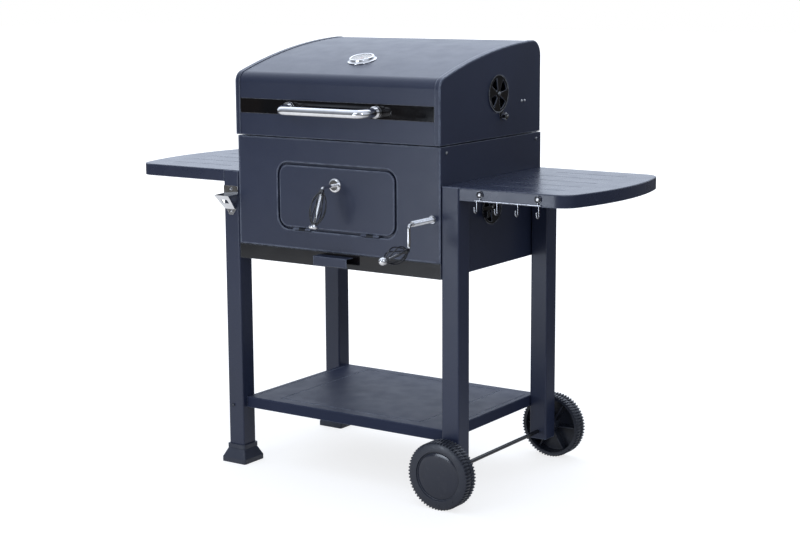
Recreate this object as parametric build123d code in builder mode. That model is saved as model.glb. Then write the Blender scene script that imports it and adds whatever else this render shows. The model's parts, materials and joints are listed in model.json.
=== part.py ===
from build123d import *

import os
from math import asin, cos, hypot, radians, sin

os.makedirs("parts", exist_ok=True)

# Charcoal grill cart: a firebox on four legs with a hinged lid, two side shelves, a bottom shelf,
# two wheels on the right and two feet on the left.
# Millimetres, +Z up. The front faces -Y and the crank is at +X. The origin is on the floor,
# in the middle of the whole grill's width and depth.

# ---------------------------------------------------------------- driving sizes
sheet = 1.5                  # thickness of the painted steel sheet
body_width = 600
body_depth = 466
body_bottom = 538
body_top = 847
hem = 12                     # width of a folded rim
hem_gap = 2                  # between the folded rims of two panels
return_depth = 34            # how far the front and back panels turn in behind the sides
corner_round = 1.2           # outer bend of the side panels

leg_width = 47.5             # along X
leg_depth = 48.5             # along Y
leg_wall = 1.5
leg_round = 4
leg_gap = 2.3                # spacer between the firebox and a leg
wheel_leg_bottom = 63

wheel_radius = 82
wheel_width = 40
wheel_gap = 16.5             # from a leg to its wheel
axle_radius = 5
running_gap = 0.06           # radial clearance of a shaft that turns in a hole
free_gap = 0.3               # clearance between bodies that only pass each other

crank_inset = 23             # from the firebox's side to the crank's axis
crank_rise = 140             # from the firebox's bottom to the crank's axis
crank_shaft_radius = 6
crank_rod_radius = 4
crank_arm_y = 97             # how far in front of the firebox the crank's arm hangs
crank_arm_drop = 57
crank_ball_y = 201
crank_ball_drop = 69
crank_ball_radius = 10

shelf_below_rim = 89.2       # how far the side shelves lie below the firebox's rim
shelf_drop = 30              # height of a side shelf's flange
shelf_length = 278.2         # from a leg to where the shelf's straight edges would meet its bowed edge
shelf_bow = 39               # how far the bowed edge stands out past that
shelf_corner = 45
lid_gap = 3                  # between the firebox's rim and the lid's
lid_overhang = 2             # how far the lid stands out over each side

# ---------------------------------------------------------------- places that follow
side_out = body_width / 2
side_in = side_out - sheet
crank_reach = crank_ball_y + crank_ball_radius
rear_reach = body_depth + wheel_gap + wheel_width
front_y = (crank_reach - rear_reach) / 2
back_y = front_y + body_depth
leg_in = side_out + leg_gap
leg_out = leg_in + leg_width
leg_x = (leg_in + leg_out) / 2
crank_x = side_out - crank_inset
crank_z = body_bottom + crank_rise
shelf_top = body_top - shelf_below_rim
shelf_corner_x = leg_out + shelf_length
shelf_tip_x = shelf_corner_x + shelf_bow
lid_bottom = body_top + lid_gap
lid_half = side_out + lid_overhang
front_leg_y = front_y + leg_depth / 2
back_leg_y = back_y - leg_depth / 2
leg_top = shelf_top - sheet
past = 1                     # how far a cut runs past the face that it opens
weld = 1                     # how deep crossing rods are welded into each other
pieces = []


def slab(x_span, y_span, z_span, mode=Mode.ADD):
    """Put a box with these three spans into the part that is being built."""
    centre = [(low + high) / 2 for low, high in (x_span, y_span, z_span)]
    with Locations(tuple(centre)):
        Box(x_span[1] - x_span[0], y_span[1] - y_span[0], z_span[1] - z_span[0], mode=mode)


def rod(start, direction, radius, length, mode=Mode.ADD):
    """Put a cylinder that starts at a point and runs along a direction into the part."""
    with Locations(Plane(origin=start, z_dir=direction)):
        Cylinder(radius, length, align=(Align.CENTER, Align.CENTER, Align.MIN), mode=mode)


def front_plane(y):
    """A plane that faces the front, with X to the right and Z up."""
    return Plane(origin=(0, y, 0), x_dir=(1, 0, 0), z_dir=(0, -1, 0))


def save(piece, name):
    """Label a finished piece and write its STEP file."""
    piece.part.label = name
    export_step(piece.part, f"parts/{name}.step")
    pieces.append(name)


# ---------------------------------------------------------------- vents
vent_disc_radius = 46
vent_open_inner = 11
vent_open_outer = 38
vent_open_angle = 46
vent_count = 4
vent_disc_sheet = 1.2
vent_bead = 2
vent_bead_height = 1
vent_pin_radius = 2.5
vent_gap = free_gap
lid_vent_turn = 35           # angle of the first opening, from the back towards the top
body_vent_turn = 65
lid_vent_y = front_y + body_depth / 2 + 21
lid_vent_z = lid_bottom + 105
body_vent_y = front_y + body_depth / 2 - 4
body_vent_z = body_bottom + 148
lid_knob_turn = -75.5
lid_knob_reach = 56.5
body_knob_turn = 200.5
body_knob_reach = 42.5
knob_radius = 7
knob_height = 15
knob_neck_radius = 3.5
knob_neck = 5
knob_arm_rim = 2             # of the disc's arm around the knob


def vent_openings(first_turn):
    """Four ring sectors, the openings of a vent, as one sketch around its centre."""
    with BuildSketch() as openings:
        for step in range(vent_count):
            start = first_turn + step * 360 / vent_count - vent_open_angle / 2
            with BuildLine():
                outer = CenterArc((0, 0), vent_open_outer, start, vent_open_angle)
                inner = CenterArc((0, 0), vent_open_inner, start, vent_open_angle)
                Line(outer @ 0, inner @ 0)
                Line(outer @ 1, inner @ 1)
            make_face()
    return openings.sketch


lid_vent_cut = vent_openings(lid_vent_turn)
body_vent_cut = vent_openings(body_vent_turn)

# ---------------------------------------------------------------- fasteners of the frame
bolt_radius = 3
bolt_hole = bolt_radius + 0.2
bolt_head_radius = 6
bolt_head = 3.5
bolt_nut = 4
upper_bolt_z = body_top - 112
lower_bolt_z = body_bottom + 62
rivet_z = body_top - 15
rivet_inset = 25
rivet_radius = 2
rivet_gap = 0.1              # around a rivet, a screw or a bush in its hole
rivet_hole = rivet_radius + rivet_gap
shelf_bolt_z = 160
leg_bolt_ys = (front_leg_y, back_leg_y)
rivet_ys = (front_y + rivet_inset, back_y - rivet_inset)

# ---------------------------------------------------------------- ash drawer sizes
drawer_front_height = 37
drawer_gap = 1
runner_leg = 14
drawer_sheet = 1.2
drawer_stop = 26             # room behind the closed drawer
drawer_side_gap = 0.6
runner_gap = 0.2             # from a runner to the panel in front of it and above it
runner_back_gap = 1
drawer_top = body_bottom + drawer_front_height
panel_bottom = drawer_top + drawer_gap
runner_bottom = body_bottom + sheet + free_gap
runner_top = drawer_top - runner_gap
front_notch = sheet + 0.5

# ---------------------------------------------------------------- firebox: side panels
with BuildPart() as right_panel:
    slab((side_in, side_out), (front_y, back_y), (body_bottom, body_top))
    fillet(right_panel.edges().filter_by(Axis.Z).group_by(Axis.X)[-1], corner_round)
    slab((side_in, side_out + past), (front_y - past, front_y + front_notch),
         (body_bottom - past, panel_bottom), Mode.SUBTRACT)
    slab((side_in - hem, side_in), (front_y + hem + hem_gap, back_y - hem - hem_gap),
         (body_top - sheet, body_top))
    with BuildSketch(Plane(origin=(side_in, body_vent_y, body_vent_z), x_dir=(0, 1, 0), z_dir=(1, 0, 0))):
        add(body_vent_cut)
        Circle(vent_pin_radius)
    extrude(amount=sheet, mode=Mode.SUBTRACT)
    for y in leg_bolt_ys:
        for z in (upper_bolt_z, lower_bolt_z):
            rod((side_in, y, z), (1, 0, 0), bolt_hole, sheet, Mode.SUBTRACT)
    for y in rivet_ys:
        rod((side_in, y, rivet_z), (1, 0, 0), rivet_hole, sheet, Mode.SUBTRACT)
save(right_panel, "right_panel")

with BuildPart() as left_panel:
    mirror(right_panel.part, about=Plane.YZ)
save(left_panel, "left_panel")

# ---------------------------------------------------------------- charcoal door sizes
door_opening_half = 177.5
door_opening_height = 165.5
door_sill = 84.5             # from the firebox's bottom to the opening
door_corner = 32
door_groove = 6.5
door_proud = 0.5             # how far the door's face stands in front of the panel
door_depth = 7.5
frame_depth = 8              # the opening's inward flange
frame_lip = 14.5             # how far the frame reaches in behind the door
hinge_out = 1.5              # how far the hinge's axis lies in front of the firebox
hinge_rise = 2.5             # and how far above the opening's lower edge
hinge_pin_radius = 1.5
hinge_barrel = 3
door_hinge_x = 101
door_hinge_length = 52
door_knuckle = 16            # length of each of the door's two knuckles on a hinge
hinge_leaf = 2               # thickness of a door knuckle's leaf
hinge_side_gap = 1
door_tab_bite = 0.5          # how far a knuckle's leaf runs into the door's flange
door_opening_bottom = body_bottom + door_sill
door_middle = door_opening_bottom + door_opening_height / 2
hinge_axis_y = front_y - hinge_out
hinge_axis_z = door_opening_bottom + hinge_rise


def rounded_opening(grow):
    """The door opening's rounded outline, made larger on every side by the given distance."""
    with BuildSketch() as outline:
        with Locations((0, door_middle)):
            RectangleRounded(2 * (door_opening_half + grow), door_opening_height + 2 * grow, door_corner + grow)
    return outline.sketch


# ---------------------------------------------------------------- firebox: front and back panels
bush_wall = 2.5
bush_hole = crank_shaft_radius + bush_wall + rivet_gap
with BuildPart() as front_panel:
    slab((-side_in, side_in), (front_y, front_y + sheet), (panel_bottom, body_top))
    for side in (-1, 1):
        slab(sorted((side * side_in, side * (side_in - sheet))), (front_y + sheet, front_y + return_depth),
             (panel_bottom, body_top - sheet))
    for low in (panel_bottom, body_top - sheet):
        slab((-side_in + hem, side_in - hem), (front_y + sheet, front_y + hem), (low, low + sheet))
    with BuildSketch(front_plane(front_y + frame_depth)):
        add(rounded_opening(sheet))
    extrude(amount=frame_depth)
    with BuildSketch(front_plane(front_y + frame_depth)):
        add(rounded_opening(0))
    extrude(amount=frame_depth, mode=Mode.SUBTRACT)
    for side in (-1, 1):
        x = side * door_hinge_x
        slab((x - door_hinge_length / 2 - hinge_side_gap, x + door_hinge_length / 2 + hinge_side_gap),
             (front_y - past, front_y + frame_depth + past),
             (door_opening_bottom - sheet, hinge_axis_z), Mode.SUBTRACT)
        for z in (upper_bolt_z, lower_bolt_z):
            rod((side * (side_in - sheet), front_leg_y, z), (side, 0, 0), bolt_hole, sheet, Mode.SUBTRACT)
        rod((side * (side_in - sheet), rivet_ys[0], rivet_z), (side, 0, 0), rivet_hole, sheet, Mode.SUBTRACT)
    rod((crank_x, front_y, crank_z), (0, 1, 0), bush_hole, sheet, Mode.SUBTRACT)
save(front_panel, "front_panel")

lid_hinge_x = 200
lid_hinge_plate = 40
lid_hinge_screw_z = body_top - 10.5
lid_hinge_screw_radius = 2.5
lid_hinge_screw_shift = 12
with BuildPart() as back_panel:
    slab((-side_in, side_in), (back_y - sheet, back_y), (body_bottom, body_top))
    for side in (-1, 1):
        slab(sorted((side * side_in, side * (side_in - sheet))), (back_y - return_depth, back_y - sheet),
             (panel_bottom, body_top - sheet))
        for z in (upper_bolt_z, lower_bolt_z):
            rod((side * (side_in - sheet), back_leg_y, z), (side, 0, 0), bolt_hole, sheet, Mode.SUBTRACT)
        rod((side * (side_in - sheet), rivet_ys[1], rivet_z), (side, 0, 0), rivet_hole, sheet, Mode.SUBTRACT)
        for shift in (-lid_hinge_screw_shift, lid_hinge_screw_shift):
            rod((side * lid_hinge_x + shift, back_y - sheet, lid_hinge_screw_z), (0, 1, 0),
                lid_hinge_screw_radius + rivet_gap, sheet, Mode.SUBTRACT)
    slab((-side_in + hem, side_in - hem), (back_y - hem, back_y - sheet), (body_top - sheet, body_top))
save(back_panel, "back_panel")

with BuildPart() as door_frame:
    with BuildSketch(front_plane(front_y + frame_depth + sheet)):
        add(rounded_opening(sheet))
        add(rounded_opening(-frame_lip), mode=Mode.SUBTRACT)
    extrude(amount=sheet)
save(door_frame, "door_frame")

# ---------------------------------------------------------------- ash drawer and its runners
with BuildPart() as drawer_runners:
    for side in (-1, 1):
        web = side_in - sheet
        tip = side_in - runner_leg
        span = (front_y + front_notch + runner_gap, back_y - sheet - runner_back_gap)
        slab(sorted((side * web, side * side_in)), span, (runner_bottom, runner_top))
        for low in (runner_bottom, runner_top - sheet):
            slab(sorted((side * tip, side * web)), span, (low, low + sheet))
    for side in (-1, 1):
        slab(sorted((side * (side_in - sheet), side * side_in)),
             (back_y - return_depth - past, back_y - sheet + past), (panel_bottom, body_top), Mode.SUBTRACT)
save(drawer_runners, "drawer_runners")

strip_round = 0.6
drawer_half = side_in - sheet - drawer_side_gap
drawer_bottom = runner_bottom + sheet + free_gap
drawer_rim = runner_top - sheet - free_gap
drawer_back = back_y - drawer_stop
with BuildPart() as ash_drawer:
    slab((-drawer_half, drawer_half), (front_y + sheet, drawer_back), (drawer_bottom, drawer_rim))
    slab((-drawer_half + drawer_sheet, drawer_half - drawer_sheet),
         (front_y + sheet + drawer_sheet, drawer_back - drawer_sheet),
         (drawer_bottom + drawer_sheet, drawer_rim), Mode.SUBTRACT)
save(ash_drawer, "ash_drawer")

with BuildPart() as drawer_front:
    slab((-side_out, side_out), (front_y, front_y + sheet), (body_bottom, drawer_top))
    fillet(drawer_front.edges().filter_by(Axis.X).group_by(Axis.Y)[0], strip_round)
save(drawer_front, "drawer_front")

pull_half = 49.5
pull_reach = 28
pull_bottom = body_bottom + 7.5
pull_top = body_bottom + 30
pull_lip = 5                 # of the sheet, folded back under the pull
with BuildPart() as drawer_pull:
    slab((-pull_half, pull_half), (front_y - pull_reach, front_y), (pull_bottom, pull_top))
    fillet(drawer_pull.edges().filter_by(Axis.X).group_by(Axis.Y)[0], strip_round)
    slab((-pull_half, pull_half), (front_y - pull_reach + sheet, front_y),
         (pull_bottom + sheet, pull_top - sheet), Mode.SUBTRACT)
    slab((-pull_half, pull_half), (front_y - pull_reach + pull_lip, front_y),
         (pull_bottom, pull_bottom + sheet), Mode.SUBTRACT)
save(drawer_pull, "drawer_pull")

# ---------------------------------------------------------------- grates
grate_rest_z = body_top - 19
rail_leg = 16
rail_half = side_in - hem - 4
with BuildPart() as grate_rails:
    for wall, inward in ((front_y + sheet, 1), (back_y - sheet, -1)):
        slab((-rail_half, rail_half), sorted((wall, wall + inward * rail_leg)),
             (grate_rest_z - sheet, grate_rest_z))
        slab((-rail_half, rail_half), sorted((wall, wall + inward * sheet)),
             (grate_rest_z - rail_leg, grate_rest_z - sheet))
save(grate_rails, "grate_rails")

grate_bar = 2.5
grate_cross = 3
grate_bars = 15
grate_half_gap = 2
grate_reach = side_in - 5
grate_cross_inset = 10
grate_end_gap = 3            # from a bar's end to the firebox
cross_z = grate_rest_z + free_gap + grate_cross
bar_z = cross_z + grate_cross + grate_bar - weld
for side, name in ((-1, "cooking_grate_left"), (1, "cooking_grate_right")):
    with BuildPart() as cooking_grate:
        low = grate_half_gap + grate_bar
        high = grate_reach - grate_bar
        for step in range(grate_bars):
            x = side * (low + (high - low) * step / (grate_bars - 1))
            rod((x, front_y + sheet + grate_end_gap, bar_z), (0, 1, 0), grate_bar,
                body_depth - 2 * (sheet + grate_end_gap))
        for y in (front_y + grate_cross_inset, front_y + body_depth / 2, back_y - grate_cross_inset):
            rod((side * grate_half_gap, y, cross_z), (side, 0, 0), grate_cross, grate_reach - grate_half_gap)
    save(cooking_grate, name)

rack_rise = 68
rack_depth = 140
rack_back_inset = 36
rack_frame = 3.5
rack_bend = 12
rack_rail = 2.8
rack_inset = 20              # of the long rails from the ends' legs
rack_wire = 2
rack_wire_tail = 8           # how far a wire runs past the long rails
rack_bars = 17
rack_seat = 0.05             # from a long rail's end to the end frame that holds it
rack_z = body_top + rack_rise
rack_back = back_y - rack_back_inset
rack_front = rack_back - rack_depth
rack_half = side_in - hem / 2
rack_end_x = rack_half - rack_frame
rail_end_x = rack_end_x - rack_frame - rack_seat
with BuildPart() as warming_rack:
    for side in (-1, 1):
        x = side * rack_end_x
        with BuildLine(Plane.YZ.offset(x)) as rack_end:
            FilletPolyline((rack_front, body_top + free_gap), (rack_front, rack_z), (rack_back, rack_z),
                           (rack_back, body_top + free_gap), radius=rack_bend)
        with BuildSketch(Plane.XY.offset(body_top + free_gap)):
            with Locations((x, rack_front)):
                Circle(rack_frame)
        sweep(path=rack_end.line)
    for y in (rack_front + rack_inset, rack_back - rack_inset):
        rod((-rail_end_x, y, rack_z), (1, 0, 0), rack_rail, 2 * rail_end_x)
    for step in range(1, rack_bars + 1):
        x = -rack_half + 2 * rack_half * step / (rack_bars + 1)
        rod((x, rack_front + rack_inset - rack_wire_tail, rack_z + rack_rail), (0, 1, 0), rack_wire,
            rack_depth - 2 * (rack_inset - rack_wire_tail))
save(warming_rack, "warming_rack")

# ---------------------------------------------------------------- charcoal lift
# Two arms on each side cross at their middles, like scissors. The outer arm turns on a fixed pivot
# at the back and slides under the tray at the front. The inner arm carries the tray above that pivot,
# and its lower end slides along the base, pushed by a nut on the crank's spindle.
arm_room = 166               # depth of the firebox that the arms leave free
arm_width = 18
arm_sheet = 3
arm_rest = 10                # angle of an arm above level, with the tray lowest
arm_pin = 4
pivot_inset = 56             # from the firebox's back to the fixed pivot
rail_gap = 1.3               # between an inner arm and the tray's rail
rail_sheet = 2.2
arm_length = body_depth - arm_room
pivot_y = back_y - pivot_inset
tray_slack = 0.5
bracket_sheet = 2
bracket_in = side_in - bracket_sheet
outer_arm_out = bracket_in - tray_slack
outer_arm_in = outer_arm_out - arm_sheet
inner_arm_out = outer_arm_in - tray_slack
inner_arm_in = inner_arm_out - arm_sheet
rail_out = inner_arm_in - rail_gap
rail_in = rail_out - rail_sheet
arm_run = arm_length * cos(radians(arm_rest))
arm_rise = arm_length * sin(radians(arm_rest))
slide_y = pivot_y - arm_run
tray_pin_z = crank_z + arm_rise
slide_travel = 26            # how far back the sliding ends move as the tray rises
pin_end = side_in - free_gap
pin_tail = 1                 # how far a pin stands out past the rail that it slides in
slot_gap = 0.2


def arm_plane(x, slope):
    """A plane across the lift at x, through the arms' crossing, along an arm that rises to one side."""
    return Plane(origin=(x, pivot_y - arm_run / 2, crank_z + arm_rise / 2),
                 x_dir=(0, slope * cos(radians(arm_rest)), sin(radians(arm_rest))), z_dir=(1, 0, 0))


with BuildPart() as lift_arms_outer:
    for side in (-1, 1):
        low = min(side * outer_arm_in, side * outer_arm_out)
        with BuildSketch(arm_plane(low, -1)):
            SlotCenterToCenter(arm_length, arm_width)
        extrude(amount=arm_sheet)
        rod((side * outer_arm_in, pivot_y - arm_run / 2, crank_z + arm_rise / 2), (-side, 0, 0), arm_pin,
            outer_arm_in - inner_arm_in + tray_slack)
        rod((side * outer_arm_in, slide_y, tray_pin_z), (-side, 0, 0), arm_pin,
            outer_arm_in - rail_in + pin_tail)
    rod((-pin_end, pivot_y, crank_z), (1, 0, 0), arm_pin, 2 * pin_end)
save(lift_arms_outer, "lift_arms_outer")

nut_half = 12
nut_height = 20
nut_wall = 4.2
nut_edge = 2
nut_out = inner_arm_in - tray_slack
nut_bore = crank_shaft_radius + free_gap
nut_in = crank_x - nut_bore - nut_wall
pin_socket = 4
socket_room = 0.3
with BuildPart() as lift_arms_inner:
    for side in (-1, 1):
        low = min(side * inner_arm_in, side * inner_arm_out)
        with BuildSketch(arm_plane(low, 1)):
            SlotCenterToCenter(arm_length, arm_width)
            Circle(arm_pin + running_gap, mode=Mode.SUBTRACT)
        extrude(amount=arm_sheet)
        rod((side * inner_arm_out, slide_y, crank_z), (side, 0, 0), arm_pin, pin_end - inner_arm_out)
    rod((inner_arm_in, slide_y, crank_z), (-1, 0, 0), arm_pin, tray_slack + pin_socket)
    rod((-inner_arm_in, pivot_y, tray_pin_z), (1, 0, 0), arm_pin, 2 * inner_arm_in)
save(lift_arms_inner, "lift_arms_inner")

with BuildPart() as lift_nut:
    slab((nut_in, nut_out), (slide_y - nut_half, slide_y + nut_half),
         (crank_z - nut_height / 2, crank_z + nut_height / 2))
    chamfer(lift_nut.edges().filter_by(Axis.Y), nut_edge)
    rod((crank_x, slide_y - nut_half, crank_z), (0, 1, 0), nut_bore, 2 * nut_half, Mode.SUBTRACT)
    rod((nut_out, slide_y, crank_z), (-1, 0, 0), arm_pin + running_gap, pin_socket + socket_room,
        Mode.SUBTRACT)
save(lift_nut, "lift_nut")

bracket_half = 14
bearing_room = 20            # between the nut, at the end of its travel, and the bearing
bearing_half = 13
bearing_sheet = 3
bearing_tab_drop = 2         # how far the bearing's tab stays below the crank's axis
bearing_y = slide_y + slide_travel + nut_half + bearing_room
journal_radius = 5
with BuildPart() as lift_brackets:
    for side in (-1, 1):
        plate = sorted((side * bracket_in, side * side_in))
        height = (crank_z - bracket_half, crank_z + bracket_half)
        slab(plate, (pivot_y - bracket_half, pivot_y + bracket_half), height)
        slab(plate, (slide_y - bracket_half, bearing_y), height)
        rod((side * bracket_in, pivot_y, crank_z), (side, 0, 0), arm_pin + running_gap, bracket_sheet, Mode.SUBTRACT)
        slab(plate, (slide_y, slide_y + slide_travel),
             (crank_z - arm_pin - slot_gap, crank_z + arm_pin + slot_gap), Mode.SUBTRACT)
        for y in (slide_y, slide_y + slide_travel):
            rod((side * bracket_in, y, crank_z), (side, 0, 0), arm_pin + slot_gap, bracket_sheet, Mode.SUBTRACT)
    slab((crank_x - bearing_half, nut_out), (bearing_y, bearing_y + bearing_sheet),
         (crank_z - bracket_half, crank_z + bracket_half))
    slab((nut_out, side_in), (bearing_y, bearing_y + bearing_sheet),
         (crank_z - bracket_half, crank_z - bearing_tab_drop))
    rod((crank_x, bearing_y, crank_z), (0, 1, 0), journal_radius + running_gap, bearing_sheet, Mode.SUBTRACT)
save(lift_brackets, "lift_brackets")

# ---------------------------------------------------------------- charcoal tray and its grate
tray_crank_gap = 15          # from the crank's axis to the tray
tray_front_gap = 42
tray_pivot_gap = 9
tray_half = crank_x - tray_crank_gap
tray_front = front_y + tray_front_gap
tray_back = pivot_y - arm_pin - tray_pivot_gap
tray_rim = tray_pin_z + 12
tray_depth = 50
rail_drop = arm_width / 2
ash_slot = 70
ash_slot_width = 8
ash_slot_columns = 6
ash_slot_rows = 9
ash_slot_margin_x = 20
ash_slot_margin_y = 10
with BuildPart() as charcoal_tray:
    slab((-tray_half, tray_half), (tray_front, tray_back), (tray_rim - tray_depth, tray_rim))
    slab((-tray_half + sheet, tray_half - sheet), (tray_front + sheet, tray_back - sheet),
         (tray_rim - tray_depth + sheet, tray_rim), Mode.SUBTRACT)
    with BuildSketch(Plane.XY.offset(tray_rim - tray_depth)):
        with Locations((0, (tray_front + tray_back) / 2)):
            with GridLocations(2 * (tray_half - ash_slot_margin_x) / ash_slot_columns,
                               (tray_back - tray_front - 2 * ash_slot_margin_y) / ash_slot_rows,
                               ash_slot_columns, ash_slot_rows):
                SlotOverall(ash_slot, ash_slot_width)
    extrude(amount=sheet, mode=Mode.SUBTRACT)
    for side in (-1, 1):
        slab(sorted((side * (tray_half - sheet), side * rail_out)), (tray_front, tray_back),
             (tray_rim - sheet, tray_rim))
        slab(sorted((side * rail_in, side * rail_out)), (tray_front, pivot_y + rail_drop),
             (tray_pin_z - rail_drop, tray_rim))
        rod((side * rail_in, pivot_y, tray_pin_z), (side, 0, 0), arm_pin + running_gap,
            rail_out - rail_in, Mode.SUBTRACT)
        slab(sorted((side * rail_in, side * rail_out)), (slide_y, slide_y + slide_travel),
             (tray_pin_z - arm_pin - slot_gap, tray_pin_z + arm_pin + slot_gap), Mode.SUBTRACT)
        for y in (slide_y, slide_y + slide_travel):
            rod((side * rail_in, y, tray_pin_z), (side, 0, 0), arm_pin + slot_gap, rail_out - rail_in, Mode.SUBTRACT)
save(charcoal_tray, "charcoal_tray")

coal_bar = 2.5
coal_bars = 19
coal_cross = 2.8
coal_side_gap = 5
coal_end_gap = 4
coal_cross_inset = 12
coal_half = tray_half - sheet - coal_side_gap
coal_floor = tray_rim - tray_depth + sheet
with BuildPart() as charcoal_grate:
    for x in (-coal_half * 0.7, 0, coal_half * 0.7):
        rod((x, tray_front + sheet + coal_end_gap, coal_floor + coal_bar), (0, 1, 0), coal_bar,
            tray_back - tray_front - 2 * (sheet + coal_end_gap))
    for step in range(coal_bars):
        y = (tray_front + coal_cross_inset
             + (tray_back - tray_front - 2 * coal_cross_inset) * step / (coal_bars - 1))
        rod((-coal_half, y, coal_floor + 3 * coal_bar), (1, 0, 0), coal_cross, 2 * coal_half)
save(charcoal_grate, "charcoal_grate")

# ---------------------------------------------------------------- crank
wire_radius = 1.5
cage_wires = 8
cage_radius = 19.5
cage_neck = 4.5
cage_ring = 4                # length of the ring at each end
cage_start = 12              # from the bend before a grip to the grip
cage_bore_gap = 0.1


def cage(start, direction, length, bore):
    """Wires bowed like a cage around an axis, held by a ring at each end, for a grip that stays cool."""
    axis = Plane(origin=start, z_dir=direction)
    for step in range(cage_wires):
        turn = radians(step * 360 / cage_wires)
        radial = axis.x_dir * cos(turn) + axis.y_dir * sin(turn)
        wire_plane = Plane(origin=start, x_dir=radial, z_dir=radial.cross(axis.z_dir))
        bow = Edge.make_three_point_arc(
            wire_plane.from_local_coords((cage_neck, 0, 0)),
            wire_plane.from_local_coords((cage_radius, length / 2, 0)),
            wire_plane.from_local_coords((cage_neck, length, 0)))
        with BuildSketch(Plane(origin=bow @ 0, z_dir=bow % 0)) as section:
            Circle(wire_radius)
        sweep(section.sketch, path=bow)
    ring = cage_neck + wire_radius
    rod(start, direction, ring, cage_ring)
    rod(start + axis.z_dir * (length - cage_ring), direction, ring, cage_ring)
    rod(start - axis.z_dir * past, direction, bore, length + 2 * past, Mode.SUBTRACT)


bush_flange = 9.5
bush_flange_height = 1
bush_length = 7
collar_radius = 9
collar_length = 3
with BuildPart() as crank_bush:
    rod((crank_x, front_y - bush_flange_height, crank_z), (0, 1, 0), bush_flange, bush_flange_height)
    rod((crank_x, front_y, crank_z), (0, 1, 0), bush_hole - rivet_gap, bush_length)
    rod((crank_x, front_y - bush_flange_height, crank_z), (0, 1, 0), crank_shaft_radius + running_gap,
        bush_length + bush_flange_height, Mode.SUBTRACT)
save(crank_bush, "crank_bush")

shaft_bend_room = 12         # of thin rod between the shaft and the crank's arm
journal_room = 8             # of thin rod in front of the bearing
journal_tail = 6
crank_bend = 8
shaft_front = front_y - crank_arm_y + shaft_bend_room
spindle_end = bearing_y - journal_room
grip_start = Vector(crank_x, front_y - crank_arm_y, crank_z - crank_arm_drop)
ball_centre = Vector(crank_x, front_y - crank_ball_y, crank_z - crank_ball_drop)
with BuildPart() as crank_spindle:
    rod((crank_x, shaft_front, crank_z), (0, 1, 0), crank_shaft_radius, spindle_end - shaft_front)
    rod((crank_x, spindle_end, crank_z), (0, 1, 0), journal_radius, bearing_y + journal_tail - spindle_end)
    rod((crank_x, front_y + bush_length + free_gap, crank_z), (0, 1, 0), collar_radius, collar_length)
    with BuildLine(Plane.YZ.offset(crank_x)) as crank_path:
        FilletPolyline((shaft_front + weld, crank_z), (grip_start.Y, crank_z), (grip_start.Y, grip_start.Z),
                       (ball_centre.Y, ball_centre.Z), radius=crank_bend)
    with BuildSketch(Plane(origin=(crank_x, shaft_front + weld, crank_z), z_dir=(0, -1, 0))):
        Circle(crank_rod_radius)
    sweep(path=crank_path.line)
    with Locations(ball_centre):
        Sphere(crank_ball_radius)
save(crank_spindle, "crank_spindle")

crank_grip_length = 80
crank_grip_direction = (ball_centre - grip_start).normalized()
with BuildPart() as crank_grip:
    cage(grip_start + crank_grip_direction * cage_start, crank_grip_direction, crank_grip_length,
         crank_rod_radius + cage_bore_gap)
save(crank_grip, "crank_grip")

# ---------------------------------------------------------------- charcoal door
door_half = door_opening_half - door_groove
latch_rise = 202             # from the firebox's bottom to the latch's shaft
latch_z = body_bottom + latch_rise
door_edge_round = 1.2
latch_radius = 4
latch_reach = 52             # how far the handle's shank stands out of the firebox
latch_bend = 9
latch_foot_y = front_y - 90
latch_foot_z = latch_z - 93
with BuildPart() as door_panel:
    with BuildSketch(front_plane(front_y - door_proud + door_depth)):
        add(rounded_opening(-door_groove))
    extrude(amount=door_depth)
    fillet(door_panel.faces().sort_by(Axis.Y)[0].edges(), door_edge_round)
    with BuildSketch(front_plane(front_y - door_proud + door_depth)):
        add(rounded_opening(-door_groove - sheet))
    extrude(amount=door_depth - sheet, mode=Mode.SUBTRACT)
    rod((0, front_y - door_proud, latch_z), (0, 1, 0), latch_radius + running_gap, sheet, Mode.SUBTRACT)
    for side in (-1, 1):
        for end in (-1, 1):
            x = side * door_hinge_x + end * (door_hinge_length - door_knuckle) / 2
            knuckle = (x - door_knuckle / 2, x + door_knuckle / 2)
            slab(knuckle, (hinge_axis_y, front_y + 2 * sheet),
                 (hinge_axis_z + hinge_barrel - hinge_leaf, hinge_axis_z + hinge_barrel))
            slab(knuckle, (front_y + sheet, front_y + 2 * sheet),
                 (hinge_axis_z + hinge_barrel, door_opening_bottom + door_groove + door_tab_bite))
            rod((knuckle[0], hinge_axis_y, hinge_axis_z), (1, 0, 0), hinge_barrel, door_knuckle)
            rod((knuckle[0], hinge_axis_y, hinge_axis_z), (1, 0, 0), hinge_pin_radius + running_gap,
                door_knuckle, Mode.SUBTRACT)
save(door_panel, "door_panel")

mount_knuckle_gap = 0.5      # on each side, between it and the door's knuckles
mount_knuckle = door_hinge_length - 2 * (door_knuckle + mount_knuckle_gap)
mount_drop = 18
with BuildPart() as door_hinge_mounts:
    for side in (-1, 1):
        x = side * door_hinge_x
        knuckle = (x - mount_knuckle / 2, x + mount_knuckle / 2)
        low = hinge_axis_z - hinge_barrel
        slab(knuckle, (hinge_axis_y, front_y + 2 * sheet), (low, low + sheet))
        slab(knuckle, (front_y + sheet, front_y + 2 * sheet), (low - mount_drop, low + sheet))
        rod((knuckle[0], hinge_axis_y, hinge_axis_z), (1, 0, 0), hinge_barrel, mount_knuckle)
        rod((x - door_hinge_length / 2, hinge_axis_y, hinge_axis_z), (1, 0, 0), hinge_pin_radius, door_hinge_length)
save(door_hinge_mounts, "door_hinge_mounts")

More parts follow.
